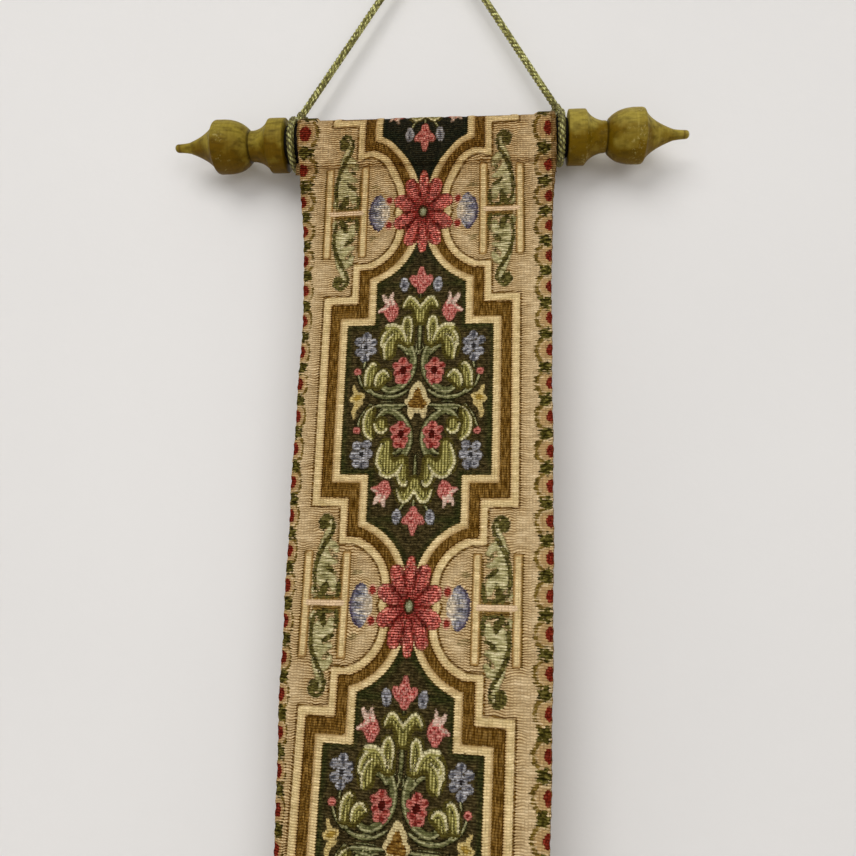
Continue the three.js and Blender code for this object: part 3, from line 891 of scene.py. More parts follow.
LILIES = [
    ([(27.4, 1.4), (28.4, 3.6), (29.2, 5.8)], (1.1, 1, 0.6)),
    ([(25.2, 1.2), (27.2, 0.2), (29.4, -0.4)], (1.4, 2.5, 1.5)),
    ([(25.4, -2.2), (26.6, -2.8), (27.6, -3.2)], (1, 1.3, 1.2)),
    ([(27.4, -3.6), (28.6, -6.2), (28.2, -9)], (1.2, 1.1, 0.6)),
]
BUD = [
    ([(0, 6.2), (0, 2.8), (0, -3)], (1.7, 4.1, 4.1)),
    ([(1.6, -1.4), (3.2, -1.8), (4.2, -1.6)], (2.8, 2.3, 1.6)),
    ([(2.2, -4.6), (2.9, -7), (2.6, -9)], (1.9, 1.4, 0.8)),
]
BUD_EYES = [
    ([(0, 3.4), (0, 0.8), (0, -2.6)], (1.2, 2.3, 2.4)),
    ([(1.6, -1.2), (2.6, -2.4), (2.3, -4.4)], (1.4, 1.6, 0.8)),
]
HALF_BAR = 1.6
DOTS_IN_REPEAT = 12


def many(u, v, rows, trace=None):
    """Level of a whole list of strokes"""
    return either(*[frond(u, v, *row, trace=trace) for row in rows])


def fold_line(across, up, petals):
    """1 on the folds between the petals of a floret, -1 on their middles, easing to its heart"""
    turn = np.arctan2(up, across) / (2 * math.pi) * petals
    return np.cos(2 * math.pi * (turn - 0.5)) * np.clip(np.hypot(across, up) / 2.5, 0, 1)


def put_right(a, v):
    """Place up the strip, put right for how the cloth is drawn up where it goes over the rod,
    most of all between the bars and the middle"""
    below = FIRST_HEART - v
    sideways = 0.45 + 0.55 * ease((a - 6) / 14)
    sideways = sideways * (1 - 0.5 * ease((a - 25) / 8)) * (1 - 0.8 * ease((a - 47) / 8))
    above_seam = 4.4 * ease((28.5 - below) / 13) * (0.6 + 0.4 * ease(below / 9))
    return v - 4.5 * ease((14 - below) / 24) - above_seam * sideways


def rosette_rows(a, h):
    """The rosette, the bud at each side of it and the folds between its petals"""
    rows = {"petal": many(a, h, ROSETTE_PETALS)}
    rows["rosette"] = either(rows["petal"], np.hypot(a, h) - 8.5)
    rows["heart"] = np.hypot(a * 1.5, h) - 2.3
    rows["core"] = np.hypot(a, h * 0.9) - 5.6
    rows["side_bud"] = np.hypot((a - 16.1) * 1.25, h - 6.4) - 1.8
    folds = np.interp(np.degrees(np.arctan2(h, a)), FOLD_ANGLES, range(4))
    folds = np.cos(2 * math.pi * folds) * np.clip(np.hypot(a, h) / 3, 0, 1)
    rows["fold"] = np.where(np.hypot(a, h) < 24, folds, -1.0)
    return rows


def flower_rows(a, y):
    """The pink, blue and yellow flowers of the field"""
    rows = {"tulip": many(a, y, PINK)}
    florets = [lobed(a, y, at, RED_LOBES) for at in RED_AT]
    dots = [np.hypot(a - x, y - z) - 1.6 for x, z in PINK_DOTS]
    rows["pink"] = either(rows["tulip"], *florets, *dots)
    rows["pale_tip"] = many(a, y, PALE_TIPS)
    rows["red_eye"] = either(*[np.hypot(a - x, (y - z) / 1.3) - 1.6 for x, z in RED_AT])
    florets = [lobed(a, y, at, lobes) for at, lobes in zip(BLUE_AT, BLUE_LOBES)]
    rows["blue"] = either(many(a, y, BLUE_BUDS), *florets)
    rows["blue_eye"] = either(*[np.hypot(a - x, (y - z) / 1.5) - 1.0 for x, z in BLUE_AT])
    rows["lily"] = many(a, y, LILIES)
    rows["bud"] = many(a, y, BUD)
    rows["bud_eye"] = many(a, y, BUD_EYES)
    return rows


def foliage_rows(a, y):
    """Leaves, their light ridges and the stems, with the place along and across each stroke"""
    light_trace, sage_trace = [
        [np.full(a.shape, start) for start in (99.0, 0.0, 0.0, 0.0)] for _ in range(2)]
    rows = {
        "leaf": many(a, y, LEAVES),
        "light": many(a, y, LIGHTS, light_trace),
        "sage": many(a, y, SAGE, sage_trace),
    }
    rows["light_run"], rows["light_side"] = light_trace[1:3]
    rows["sage_side"], rows["sage_half"] = sage_trace[2:]
    return rows


def panel_rows(a, y, h):
    """The side panels: half moons beside the rosette, leaf winding, and the bars that hold it"""
    rows = {
        "moon_eye": np.hypot((a - 22.2) / 2.2, h) - 1.5,
        "moon_rim": (np.hypot((a - 17.0) / 8.9, h / 10.8) - 1) * 9.0,
        "winding": many(a, h, WINDING),
        "winding_dark": many(a, h, WINDING_DARK),
        "sprig": np.hypot((a - 23.6) * 0.6, h - 13.4) - 1.3,
        "bars": either(box(a, h, HALF_BAR, 22.4, (45.2, 0)), box(a, h, HALF_BAR, 22.2, (28.2, 0))),
        "cross_bar": box(a, np.where(y > 0, h, -h), 8.6, 1.15, (36.7, -0.5)),
        "bar_shade": either(
            box(a, h, 0.7, 22.8, (47.1, 0)),
            np.maximum(box(a, h, 0.8, 20.0, (30.4, 0)), 0.6 - h),
            box(a, h, 5.6, 1.4, (36.6, 2.0)),
        ),
    }
    rows["moon"] = np.maximum(rows["moon_rim"], 19.6 - 3.8 * (1 - (h / 8.6) ** 2) - a)
    return rows


def border_rows(u, v, below):
    """The border: dots in half moons between leaf clusters, which follow the left fold, with painted shade
    by the folded edge
    """
    a = np.abs(u)
    edge = np.abs(strip_at(LEFT, below))
    drawn = np.clip(58.3 - edge, -1.6, 9) * ease((a - edge + 7.5) / 5.5)
    e = np.where(u < 0, a + drawn, a)
    step = REPEAT / DOTS_IN_REPEAT
    w = (v - np.where(u < 0, 7.2, 6.0) - 3.0 * ease((40 - below) / 40) + step / 2) % step - step / 2
    between = step / 2 - np.abs(w)
    points = np.cos(5 * np.arctan2(between * np.sign(w + 1e-6), e - 56.4))
    return {
        "dot": np.hypot((e - np.where(u < 0, 57.7, 58.8)) * 1.2, w * 0.9) - 2.65,
        "halo": np.hypot(e - 58.0, w * 0.95) - 4.3,
        "crescent": np.maximum(np.abs(np.hypot(e - 58.2, w * 0.95) - 5.6) - 1.0, np.abs(w) - 5.6),
        "cluster": np.hypot((e - 56.8) * 0.85, between) - 2.8 - 0.5 * points,
        "painted_fold_shade": 60.0 - e,
    }


def pattern(u, v):
    """Levels of the woven pattern at (u, v), in millimetres, below zero inside each shape"""
    a = np.abs(u)
    below = FIRST_HEART - v
    v = put_right(a, v)
    # y is taken from the heart of the nearest medallion, and h from the heart of the nearest rosette
    y = (v + REPEAT / 2) % REPEAT - REPEAT / 2
    h = REPEAT / 2 - np.abs(y)
    rows = {name: medallion(a, y, name) for name in OUTLINES}
    rows |= rosette_rows(a, h) | flower_rows(a, y) | foliage_rows(a, y)
    rows |= panel_rows(a, y, h) | border_rows(u, v, below)
    for x, z in RED_AT + BLUE_AT:
        near = np.hypot(a - x, y - z) < 8
        rows["fold"] = np.where(near, fold_line(a - x, y - z, 6), rows["fold"])
    rows["near"] = either(rows["outer"], rows["bars"], rows["cross_bar"], rows["winding"],
                          rows["winding_dark"], rows["moon"], rows["rosette"])
    rows["figured"] = either(rows["field"], rows["winding_dark"] - 0.4, rows["cluster"], rows["crescent"],
                             rows["moon"], rows["petal"])
    return rows


def soft(level, spread=0.7):
    """1 inside a shape, 0 outside, with an eased edge"""
    return ease(0.5 - level / (2 * spread))


def hem_share(across, below):
    """1 where the edge is folded double, 0 in the plain middle"""
    room = np.minimum(across - strip_at(LEFT, below), strip_at(RIGHT, below) - across)
    return 1 - ease((room - HEM_WIDTH) / HEM_STEP)


def woven_relief(rows, below, across):
    """How far the weave stands proud: full bands and motifs, sunk field, drawn-in seam"""
    proud = {"outer": 0.26, "brown": -0.32, "inner": 0.34, "field": -0.42, "bars": 0.2, "winding": 0.24}
    lift = sum(share * soft(rows[title]) for title, share in proud.items())
    raised = ("leaf", "pink", "blue", "sage", "lily", "bud", "rosette", "moon", "light", "pale_tip")
    lift = lift + 0.34 * soft(either(*[rows[title] for title in raised]), 0.8) - 0.12 * soft(rows["dot"])
    groove = np.exp(-((np.abs(rows["outer"] - 0.4) / 0.6) ** 2)) + np.exp(-((rows["field"] / 0.6) ** 2))
    seam = np.exp(-(((below - SEAM_DROP) / 1.3) ** 2))
    pucker = 0.14 * np.cos(across * 2 * math.pi / 5.2) + 0.1 * np.sin(across / 3.7)
    return lift - 0.16 * groove - seam * (0.8 + 1.4 * pucker)


def shaped(station, across, lift):
    """Places points of the strip, its ends rounded, with the slight waves of years of hanging"""
    near = np.minimum(station, STRIP_LENGTH - station)
    nose = np.sqrt(np.clip(1 - (1 - np.minimum(near / EDGE_R, 1)) ** 2, 0.06, 1))
    below = HANG - station
    wave = 0.55 * np.sin(below / 41.0 + 0.6 + across / 55.0) + 0.35 * np.sin(below / 23.0 - across / 31.0)
    wave = (wave + 0.3 * np.sin(below / 67.0 + across / 19.0 + 1.1)) * ease((below - 26.0) / 60.0)
    middle = CLOTH_T / 2
    return on_strip(station, across, middle + (lift - middle) * nose + wave)


# stations up the strip: the front has three rows for each row of the back
full_rows = 3 * BACK_ROWS + 1
station_full = np.arange(full_rows)[:, None] * STRIP_LENGTH / (full_rows - 1)
station_back = station_full[::3]
fringe = 0.28 * np.sin(station_full * 1.3) * np.sin(station_full * 0.37 + 1)
fringe = fringe + 0.2 * np.sin(station_full / 7.3)
left_full = strip_at(LEFT, HANG - station_full) + fringe + EDGE_R
right_full = strip_at(RIGHT, HANG - station_full) + 0.8 * np.roll(fringe, 37) - EDGE_R


def outward_at(station):
    """1 where the hems thicken the front, 0 where the strip goes over the rod"""
    return ease((station - HANG + FLARE) / FLARE)


face_u = left_full + (right_full - left_full) * np.linspace(0, 1, FACE_COLUMNS + 1)
face_rows = pattern(face_u, np.broadcast_to(station_full, face_u.shape) - HANG + FIRST_HEART)
face_lift = CLOTH_T + HEM_T * hem_share(face_u, HANG - station_full) * outward_at(station_full)
face_lift = face_lift + woven_relief(face_rows, HANG - station_full, face_u)

# the back: hems along both edges and the end, and the plain reverse between them
hem_steps = np.array([0.0, 2.6, 5.2, HEM_WIDTH - EDGE_R, HEM_WIDTH + HEM_STEP - EDGE_R])
left_back, right_back = left_full[::3], right_full[::3]
inner_left, inner_right = left_back + hem_steps[-1], right_back - hem_steps[-1]
middle_u = inner_left + (inner_right - inner_left) * np.linspace(0, 1, 16)[1:-1]
back_u = np.hstack([left_back + hem_steps, middle_u, right_back - hem_steps[::-1]])
folded = np.zeros(back_u.shape)
folded[:, :4] = folded[:, -4:] = 1
folded = np.maximum(folded, 1 - ease((station_back - BOTTOM_HEM) / HEM_STEP))
back_lift = -HEM_T * folded * (1 - outward_at(station_back))


def edge_columns(column, degrees, step):
    """Across and lift of the columns of a rounded edge, for every row or every third"""
    front = face_lift[::step, column]
    back = np.interp(station_full[::step, 0], station_back[:, 0], back_lift[:, column])
    turn = np.radians(degrees)
    out = -EDGE_R if column == 0 else EDGE_R
    middle, half = (front + back)[:, None] / 2, (front - back)[:, None] / 2
    return face_u[::step, column, None] + out * np.cos(turn), middle + half * np.sin(turn)


left_u, left_lift = edge_columns(0, [0, 30, 60], 1)
right_u, right_lift = edge_columns(-1, [60, 30, 0], 1)
low_left_u, low_left = edge_columns(0, [-45], 3)
low_right_u, low_right = edge_columns(-1, [-45], 3)
ring_u = np.hstack([left_u, face_u, right_u])
rear_u = np.hstack([low_left_u, back_u, low_right_u])
ring_station = np.broadcast_to(station_full, ring_u.shape)
rear_station = np.broadcast_to(station_back, rear_u.shape)
ring_points = shaped(ring_station, ring_u, np.hstack([left_lift, face_lift, right_lift]))
rear_points = shaped(rear_station, rear_u, np.hstack([low_left, back_lift, low_right]))

# Place in the weave, in millimetres. The cloth goes on round each folded edge.
turn_width = 1.6 * EDGE_R
round_edge = turn_width * np.array([1.5, 1.0, 0.5])
ring_weave = np.hstack([left_full - round_edge, face_u, right_full + round_edge[::-1]])
rear_weave = rear_u.copy()
rear_weave[:, :5] = 2 * left_back - 3 * turn_width - rear_u[:, :5]
rear_weave[:, -5:] = 2 * right_back + 3 * turn_width - rear_u[:, -5:]
rear_weave[:, :1] = left_back - 2.25 * turn_width
rear_weave[:, -1:] = right_back + 2.25 * turn_width

first_rear = ring_u.size
ring_id = np.arange(first_rear).reshape(ring_u.shape)
rear_id = first_rear + np.arange(rear_u.size).reshape(rear_u.shape)
quads = [
    np.stack([ids[:-1, :-1], ids[:-1, 1:], ids[1:, 1:], ids[1:, :-1]], -1).reshape(-1, 4)[:, order]
    for ids, order in ((ring_id, [0, 1, 2, 3]), (rear_id, [1, 0, 3, 2]))]
faces = [tuple(quad) for quad in np.vstack(quads).tolist()]
for row in range(len(rear_id) - 1):
    for column, step in ((0, 1), (-1, -1)):
        low, high = rear_id[row:row + 2, column].tolist()
        a, b, c, d = ring_id[3 * row:3 * row + 4, column].tolist()
        for first, *others in ((low, a, b), (low, b, c, high), (high, c, d)):
            faces.append((first, *others[::step]))
faces.append(tuple(rear_id[0].tolist() + ring_id[0, ::-1].tolist()))
faces.append(tuple(ring_id[-1].tolist() + rear_id[-1, ::-1].tolist()))
points = np.vstack([ring_points.reshape(-1, 3), rear_points.reshape(-1, 3)])
tapestry = new_piece("woven_tapestry", points, faces)
weave_u = np.concatenate([ring_weave.ravel(), rear_weave.ravel()])
stations = np.concatenate([ring_station.ravel(), rear_station.ravel()])
weave_v = stations - HANG + FIRST_HEART
corners = np.concatenate(faces)
set_uv(tapestry, "weave", np.column_stack([weave_u, weave_v])[corners])

# a second, packed map: the front in three lengths, and past it the back, half as large
SHEET_GAP = 142.0
SHEET_SIDE = 456.0
BACK_FOOT = 303.0
face_sizes = np.array([len(face) for face in faces])
face_starts = np.concatenate([[0], np.cumsum(face_sizes)[:-1]])
face_middle = np.add.reduceat(stations[corners], face_starts) / face_sizes


def cut_lengths(scale, foot, place_u):
    """Lays the long strip out as three lengths side by side, for a map of its colours"""
    length = STRIP_LENGTH / 3
    turn = np.repeat(np.clip(np.floor(face_middle / length), 0, 2), face_sizes)
    across_sheet = (place_u[corners] + SHEET_GAP / 2 + turn * SHEET_GAP) * scale
    return np.column_stack([across_sheet, foot + 2 + (stations[corners] - turn * length) * scale])


outermost = np.where(rear_u < 0, ring_weave[::3, :1] - 1.2, ring_weave[::3, -1:] + 1.2)
front_at = cut_lengths(1.0, 0.0, np.concatenate([ring_weave.ravel(), outermost.ravel()]))
back_at = cut_lengths(0.5, BACK_FOOT, np.concatenate([ring_weave.ravel(), rear_u.ravel()]))
back_from = len(quads[0])
face_number = np.repeat(np.arange(len(faces)), face_sizes)[:, None]
is_back = (face_number >= back_from) & (face_number < back_from + len(quads[1]))
set_uv(tapestry, "OFBake", np.where(is_back, back_at, front_at) / SHEET_SIDE)
for title, level in pattern(weave_u, weave_v).items():
    set_channel(tapestry, title, level if title.endswith("_run") else np.clip(level, -9, 9))
reverse = np.zeros(len(stations))
reverse[rear_id[:, 6:-6].ravel()] = 1
set_channel(tapestry, "reverse", reverse)

# The weave, as a shader: ribs of filling thread over a warp, with the pattern's levels as masks
WARP_PITCH = 0.68
TOP_RISE = (58.0, 100.0)
STRAIGHT = ("outer", "brown", "inner", "field", "bars", "cross_bar", "bar_shade", "painted_fold_shade")
HAIRY = {"crescent": 5.0, "cluster": 5.0, "halo": 5.0, "dot": 1.6, "winding": 3.0, "winding_dark": 2.0,
         "sprig": 5.0, "moon": 2.6}
woven, weaving, woven_surface = fresh_material(
    "jacquard tapestry", Roughness=0.95, IOR=1.45, Specular_IOR_Level=0.04)
calc, scaled, times, larger = weaving.calc, weaving.scaled, weaving.times, weaving.larger
plus, blend, channel = weaving.plus, weaving.blend, weaving.channel
across, upward = weaving.parts(weaving.add("ShaderNodeUVMap", uv_map="weave").outputs[0])[:2]


def woven_noise(scale_u, scale_v, detail=1.0, shift=0.0):
    """Noise drawn out across or along the strip: cycles to the millimetre each way"""
    spot = weaving.vector(times(across, scale_u), scaled(upward, scale_v, shift))
    return weaving.noise(spot, 1.0, detail)


def wave(value, length):
    """1 at each whole length and -1 halfway"""
    return calc("COSINE", times(value, 2 * math.pi / length))


def rise(value, low, high):
    """0 below low, 1 above high; the other way round where high is the smaller"""
    return scaled(value, 1 / (high - low), -low / (high - low), clamp=True)


def chance(dimensions, socket, value, result):
    """A random number or colour, the same wherever the value is the same"""
    noise = weaving.add("ShaderNodeTexWhiteNoise", {socket: value}, noise_dimensions=dimensions)
    return noise.outputs[result]


# ribs: each is a filling thread, bowed a little and never quite even
bow = scaled(woven_noise(0.05, 0.05), 1.6, upward)
bowed = scaled(woven_noise(0.4, 0.14, 2.0, 40.0), 0.7, bow)
warp_pair = calc("ROUND", calc("DIVIDE", across, 2 * WARP_PITCH))
bowed = scaled(chance("1D", "W", warp_pair, "Value"), 0.3, bowed)
# where the ground is drawn in beside the raised shapes its ribs bow, and painted shade darkens it and its
# rib hollows
drawn_in_and_shaded = rise(scaled(woven_noise(0.2, 0.5, 1.0, 88.0), 4.0, channel("near")), 7.5, 3.0)
drawn_in_and_shaded = times(drawn_in_and_shaded, rise(channel("near"), -0.2, 0.6))
bowed = scaled(scaled(woven_noise(0.13, 0.09, 1.0, 50.0), 3.6, -1.8), drawn_in_and_shaded, bowed)
rib = calc("DIVIDE", bowed, RIB_PITCH)
rib_wave = wave(rib, 1.0)
rib_number = calc("ROUND", rib)
streak = weaving.noise(weaving.vector(times(across, 0.16), times(rib_number, 7.31)), 1.0, 2.0)

# stitches: where one warp thread crosses one rib
warp_line = calc("DIVIDE", across, WARP_PITCH)
warp_wave = wave(warp_line, 1.0)
stitch = chance("2D", "Vector", weaving.vector(calc("ROUND", warp_line), rib_number), "Color")
stitch = weaving.parts(stitch)
plain_comb = scaled(rib_wave, 0.19, scaled(stitch[0], 0.2, -0.1))
rough_comb = scaled(warp_wave, 0.1, scaled(rib_wave, 0.16, scaled(stitch[0], 0.44, -0.22)))

# mottling of the threads: fine flecks, upright warp floats, and slow changes of tone
fleck = woven_noise(0.42, 0.95, 2.0, 5.0)
upright = woven_noise(1.9, 0.7, 2.0, 9.0)
hairy = woven_noise(0.2, 1.1, 2.0, 19.0)
slow = woven_noise(0.05, 0.05, 2.0, 77.0)
warp_streak = woven_noise(1.5, 0.22, 2.0, 33.0)


@functools.cache
def level_of(title):
    """A shape's level with the comb of the weave on its edge"""
    raw = channel(title)
    if title in HAIRY:
        raw = plus(raw, scaled(hairy, HAIRY[title], -HAIRY[title] / 2))
    return plus(raw, plain_comb if title in STRAIGHT else rough_comb)


def inside(title, grown=0.0):
    return rise(level_of(title), grown + 0.15, grown - 0.15)


def shade(by, low, middle, high):
    """Thread colours that change along a noise or level from low to high"""
    return weaving.ramp(by, (0.36, low), (0.5, middle), (0.66, high))


def paint(under, layers):
    """Lays thread colours, or other coloured layers, one after another over what is there"""
    for mask, thread in layers:
        under = blend(mask, under, dye(*thread) if isinstance(thread, tuple) else thread)
    return under


cream = weaving.ramp(streak, (0.3, (214, 188, 130)), (0.7, (242, 218, 166)))
tan = (186, 150, 96)
weft_flecks = shade(fleck, (50, 42, 18), (68, 59, 34), (96, 84, 52))
edge_green = shade(fleck, (38, 42, 16), (54, 57, 26), (80, 80, 42))
field_colour = blend(rise(scaled(slow, 7.0, channel("field")), 0.4, 3.2), weft_flecks, edge_green)
field_colour = paint(field_colour, [(times(rise(upward, 58.0, 84.0), 0.7), (24, 33, 30))])
moon_rim = level_of("moon_rim")
fold = plus(channel("fold"), rough_comb)
core_share = rise(scaled(upright, 3.0, channel("core")), 4.6, 0.0)

# stems: a pale thread lies along the left of each
stem = calc("SUBTRACT", calc("ABSOLUTE", channel("sage_side")), channel("sage_half"))
stem = plus(larger(stem, calc("SUBTRACT", channel("sage"), 0.6)), plain_comb)
stem_mask = rise(stem, 0.15, -0.15)
pale_thread = calc("ABSOLUTE", scaled(channel("sage_half"), -0.45, channel("sage_side")))

# leaves: a striped blade, and beaded ridges with a pale outer side
blade = blend(rise(wave(across, 1.36), -0.2, 0.5), dye(122, 116, 54), dye(188, 180, 110))
bead = rise(wave(channel("light_run"), 1.4), -0.75, -0.1)
ridge = blend(rise(channel("light_side"), -0.3, 0.2), dye(174, 168, 96), dye(238, 230, 182))
ridge = blend(scaled(bead, 0.5, 0.5), dye(112, 106, 48), ridge)

ground = weaving.ramp(streak, (0.3, (196, 168, 124)), (0.5, (210, 184, 140)), (0.7, (224, 200, 158)))
colour = paint(ground, [
    # painted shade on the ground beside the raised shapes
    (times(drawn_in_and_shaded, 0.3), (204, 172, 112)),
    (times(inside("sprig"), 0.6), (128, 116, 66)),
    # the bands that stand out of it: cream with a tan side that is partly two-tone weave and partly painted
    # shade of the raised band, brown between them
    (times(inside("outer", 1.1), rise(hairy, 0.28, 0.56)), (118, 86, 30)),
    (inside("outer"), cream),
    (times(rise(level_of("brown"), 1.5, 0.4), 0.8), tan),
    (inside("brown", 0.3), (84, 54, 6)),
    (inside("brown", -0.3), shade(warp_streak, (86, 58, 10), (120, 88, 34), (154, 120, 62))),
    (inside("inner", 0.2), (88, 58, 10)),
    (inside("inner"), cream),
    (times(inside("inner"), rise(level_of("inner"), -1.3, -0.3), 0.75), tan),
    (inside("field", 0.35), (104, 84, 40)),
    (inside("field"), field_colour),
    # bars of the side panels, cream with tan sides that are painted shade of the rounded bar, and painted
    # shade beside them
    (inside("bars", 0.6), (150, 118, 62)),
    (inside("bar_shade"), (138, 110, 56)),
    (inside("bars"), tan),
    (inside("bars", -0.5), cream),
    (inside("cross_bar"), (235, 205, 165)),
    # leaf winding of the side panels
    (times(inside("winding", 0.5), 0.7), (116, 98, 48)),
    (inside("winding"), shade(hairy, (124, 118, 72), (186, 178, 126), (238, 228, 184))),
    (inside("winding_dark"), shade(fleck, (60, 54, 20), (92, 86, 40), (126, 118, 66))),
    # border: dots in half moons, between leaf clusters, and painted shade along the folded edge
    (inside("crescent"), shade(hairy, (98, 80, 28), (132, 108, 48), (168, 146, 82))),
    (inside("halo"), (188, 156, 106)),
    (inside("cluster"), shade(fleck, (44, 40, 8), (78, 72, 24), (138, 128, 66))),
    (inside("dot"), shade(upright, (92, 22, 10), (124, 38, 22), (150, 66, 46))),
    (times(inside("painted_fold_shade"), 0.75), (122, 94, 50)),
    # flowers of the side panels
    (inside("moon"), shade(hairy, (100, 102, 120), (172, 170, 170), (238, 226, 204))),
    (times(inside("moon"), rise(moon_rim, -3.6, -2.0), 0.5), (118, 116, 142)),
    (times(inside("moon"), rise(moon_rim, -4.4, -7.4), 0.8), (232, 214, 184)),
    (times(inside("moon"), rise(moon_rim, -1.3, -0.6)), (88, 78, 98)),
    (times(inside("moon_eye"), 0.4), (96, 92, 100)),
    (inside("side_bud", 0.8), (216, 170, 140)),
    (inside("side_bud"), (166, 66, 56)),
    # rosette
    (inside("rosette", 0.3), (112, 40, 30)),
    (inside("petal", 0.0), shade(fleck, (182, 80, 72), (224, 126, 114), (248, 178, 160))),
    (inside("petal", -1.2), shade(upright, (136, 28, 26), (186, 68, 64), (236, 140, 128))),
    # painted highlight on the rib crowns inside the petals
    (times(inside("petal", -1.6), rise(rib_wave, 0.1, 0.8), 0.65), (236, 150, 136)),
    (times(inside("rosette"), core_share, 0.8), (132, 34, 32)),
    (times(inside("rosette"), rise(fold, 0.4, 0.8), 0.9), (98, 20, 14)),
    (inside("heart", 1.3), (72, 44, 26)),
    (inside("heart"), (146, 148, 112)),
    (inside("heart", -1.0), (172, 176, 142)),
    # stems and leaves
    (rise(stem, 0.7, 0.35), (36, 32, 12)),
    (stem_mask, shade(fleck, (86, 88, 50), (112, 114, 72), (142, 142, 98))),
    (times(stem_mask, rise(pale_thread, 0.55, 0.25), rise(fleck, 0.34, 0.5)), (176, 174, 130)),
    (inside("leaf", 1.6), (88, 80, 32)),
    (inside("leaf"), blade),
    (inside("light", 0.4), (62, 57, 28)),
    (inside("light"), ridge),
    # flowers of the field
    (inside("pink", 0.25), (90, 36, 26)),
    (inside("pink"), (206, 128, 116)),
    (inside("pink", -0.7), shade(fleck, (120, 38, 32), (166, 68, 60), (216, 130, 114))),
    (inside("tulip", -0.5), shade(upright, (144, 44, 40), (196, 104, 96), (242, 180, 166))),
    (times(inside("pink"), rise(fold, 0.5, 0.85)), (124, 36, 30)),
    (inside("pale_tip"), (232, 202, 184)),
    (inside("red_eye"), (84, 24, 16)),
    (inside("blue", 0.25), (58, 56, 58)),
    (inside("blue"), shade(hairy, (112, 112, 118), (166, 166, 170), (204, 204, 208))),
    (inside("blue", -1.0), shade(fleck, (72, 72, 78), (116, 116, 124), (176, 175, 182))),
    (times(inside("blue"), rise(fold, 0.5, 0.85)), (74, 76, 84)),
    (inside("blue_eye"), (52, 50, 50)),
    (inside("lily", 0.3), (58, 50, 24)),
    (inside("lily"), (214, 192, 128)),
    (inside("lily", -1.1), (172, 142, 62)),
    (inside("bud", 0.3), (62, 52, 26)),
    (inside("bud"), (220, 202, 150)),
    (inside("bud_eye"), shade(fleck, (88, 56, 16), (130, 94, 36), (168, 134, 68))),
])

# painted shade along the crease where the sleeve is sewn, and the sleeve has yellowed
seam_shade = weaving.distance(upward, FIRST_HEART - SEAM_DROP)
seam_shade = rise(scaled(hairy, 1.6, seam_shade), 2.4, 1.2)
colour = blend(times(seam_shade, 0.6), colour, dye(168, 146, 104), "MULTIPLY")
yellowed = times(rise(upward, FIRST_HEART - 29.0, FIRST_HEART - 19.0), 0.2)
colour = blend(yellowed, colour, dye(240, 228, 204), "MULTIPLY")

# painted shade of the weave, over the warp's own brown in the rib hollows: the hollows, the gaps between
# warp threads and a few pits between stitches go dark, strongest where the colours are dark or figured and
# near the top; the stitches also vary at random in tone
tone = weaving.add("ShaderNodeRGBToBW", {0: colour}).outputs[0]
figured = times(inside("figured"), 0.5)
depth = larger(scaled(tone, -2.6, 1.15, clamp=True), figured)
crown = scaled(rib_wave, 0.5, 0.5)
hollow = calc("POWER", calc("SUBTRACT", 1.0, crown), 1.3)
taut = rise(plus(slow, times(across, -0.003)), 0.66, 0.4)
near_top = rise(upward, *TOP_RISE)
fall = scaled(depth, 0.3, scaled(taut, -0.16, 0.5))
fall = scaled(near_top, 0.4, scaled(drawn_in_and_shaded, 0.55, fall))
fall = scaled(inside("petal"), 0.4, fall)
gap = calc("POWER", scaled(warp_wave, -0.5, 0.5), 3.0)
gap = times(gap, scaled(near_top, 0.25, scaled(depth, 0.3, 0.12)))
pair_gap = calc("POWER", scaled(wave(across, 2 * WARP_PITCH), -0.5, 0.5), 4.0)
pair_gap = times(pair_gap, rise(woven_noise(0.5, 0.25, 2.0, 61.0), 0.34, 0.62), 0.5)
dark = larger(times(hollow, fall), gap, pair_gap)
ribbed = blend(dark, colour, blend(1.0, colour, dye(136, 104, 38), "MULTIPLY"))
spread = scaled(larger(inside("petal"), inside("moon")), 0.6, scaled(depth, 0.4, 0.2))
spread = scaled(near_top, 0.2, spread)
uneven = plus(times(calc("SUBTRACT", stitch[1], 0.5), spread), scaled(streak, 0.5, 0.78))
crevice = times(rise(stitch[2], 0.12, 0.06), figured, 0.7)
uneven = times(uneven, calc("SUBTRACT", 1.0, crevice))
grey = weaving.add("ShaderNodeCombineColor", {0: uneven, 1: uneven, 2: uneven}).outputs[0]
face_colour = blend(1.0, ribbed, grey, "MULTIPLY")

# the reverse: the same colours changed about, under long loose floats
floats = shade(woven_noise(1.1, 0.07, 2.0, 11.0), (92, 76, 48), (156, 132, 90), (198, 178, 134))
height = scaled(stitch[1], 0.25, calc("POWER", crown, 0.7))
weaving.fit(woven_surface, {
    "Base Color": blend(channel("reverse"), face_colour, blend(0.66, face_colour, floats)),
    "Normal": weaving.bump(scaled(warp_wave, 0.12, height), 0.8, 0.0004),
})
tapestry.data.materials.append(woven)
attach(tapestry, "root")
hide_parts("cloth")


# Sewing. Slant stitches of tan cotton thread hold the side hems and the bottom hem down behind,
# and a closer row of upright ones closes the sleeve. They lie on the back of the strip.
STITCH_LENGTH = 3.2
STITCH_PITCH = 7.0
SEAM_PITCH = 4.6
SEWING_THREAD_R = 0.2
HEM_LIFT = -0.75 * HEM_T


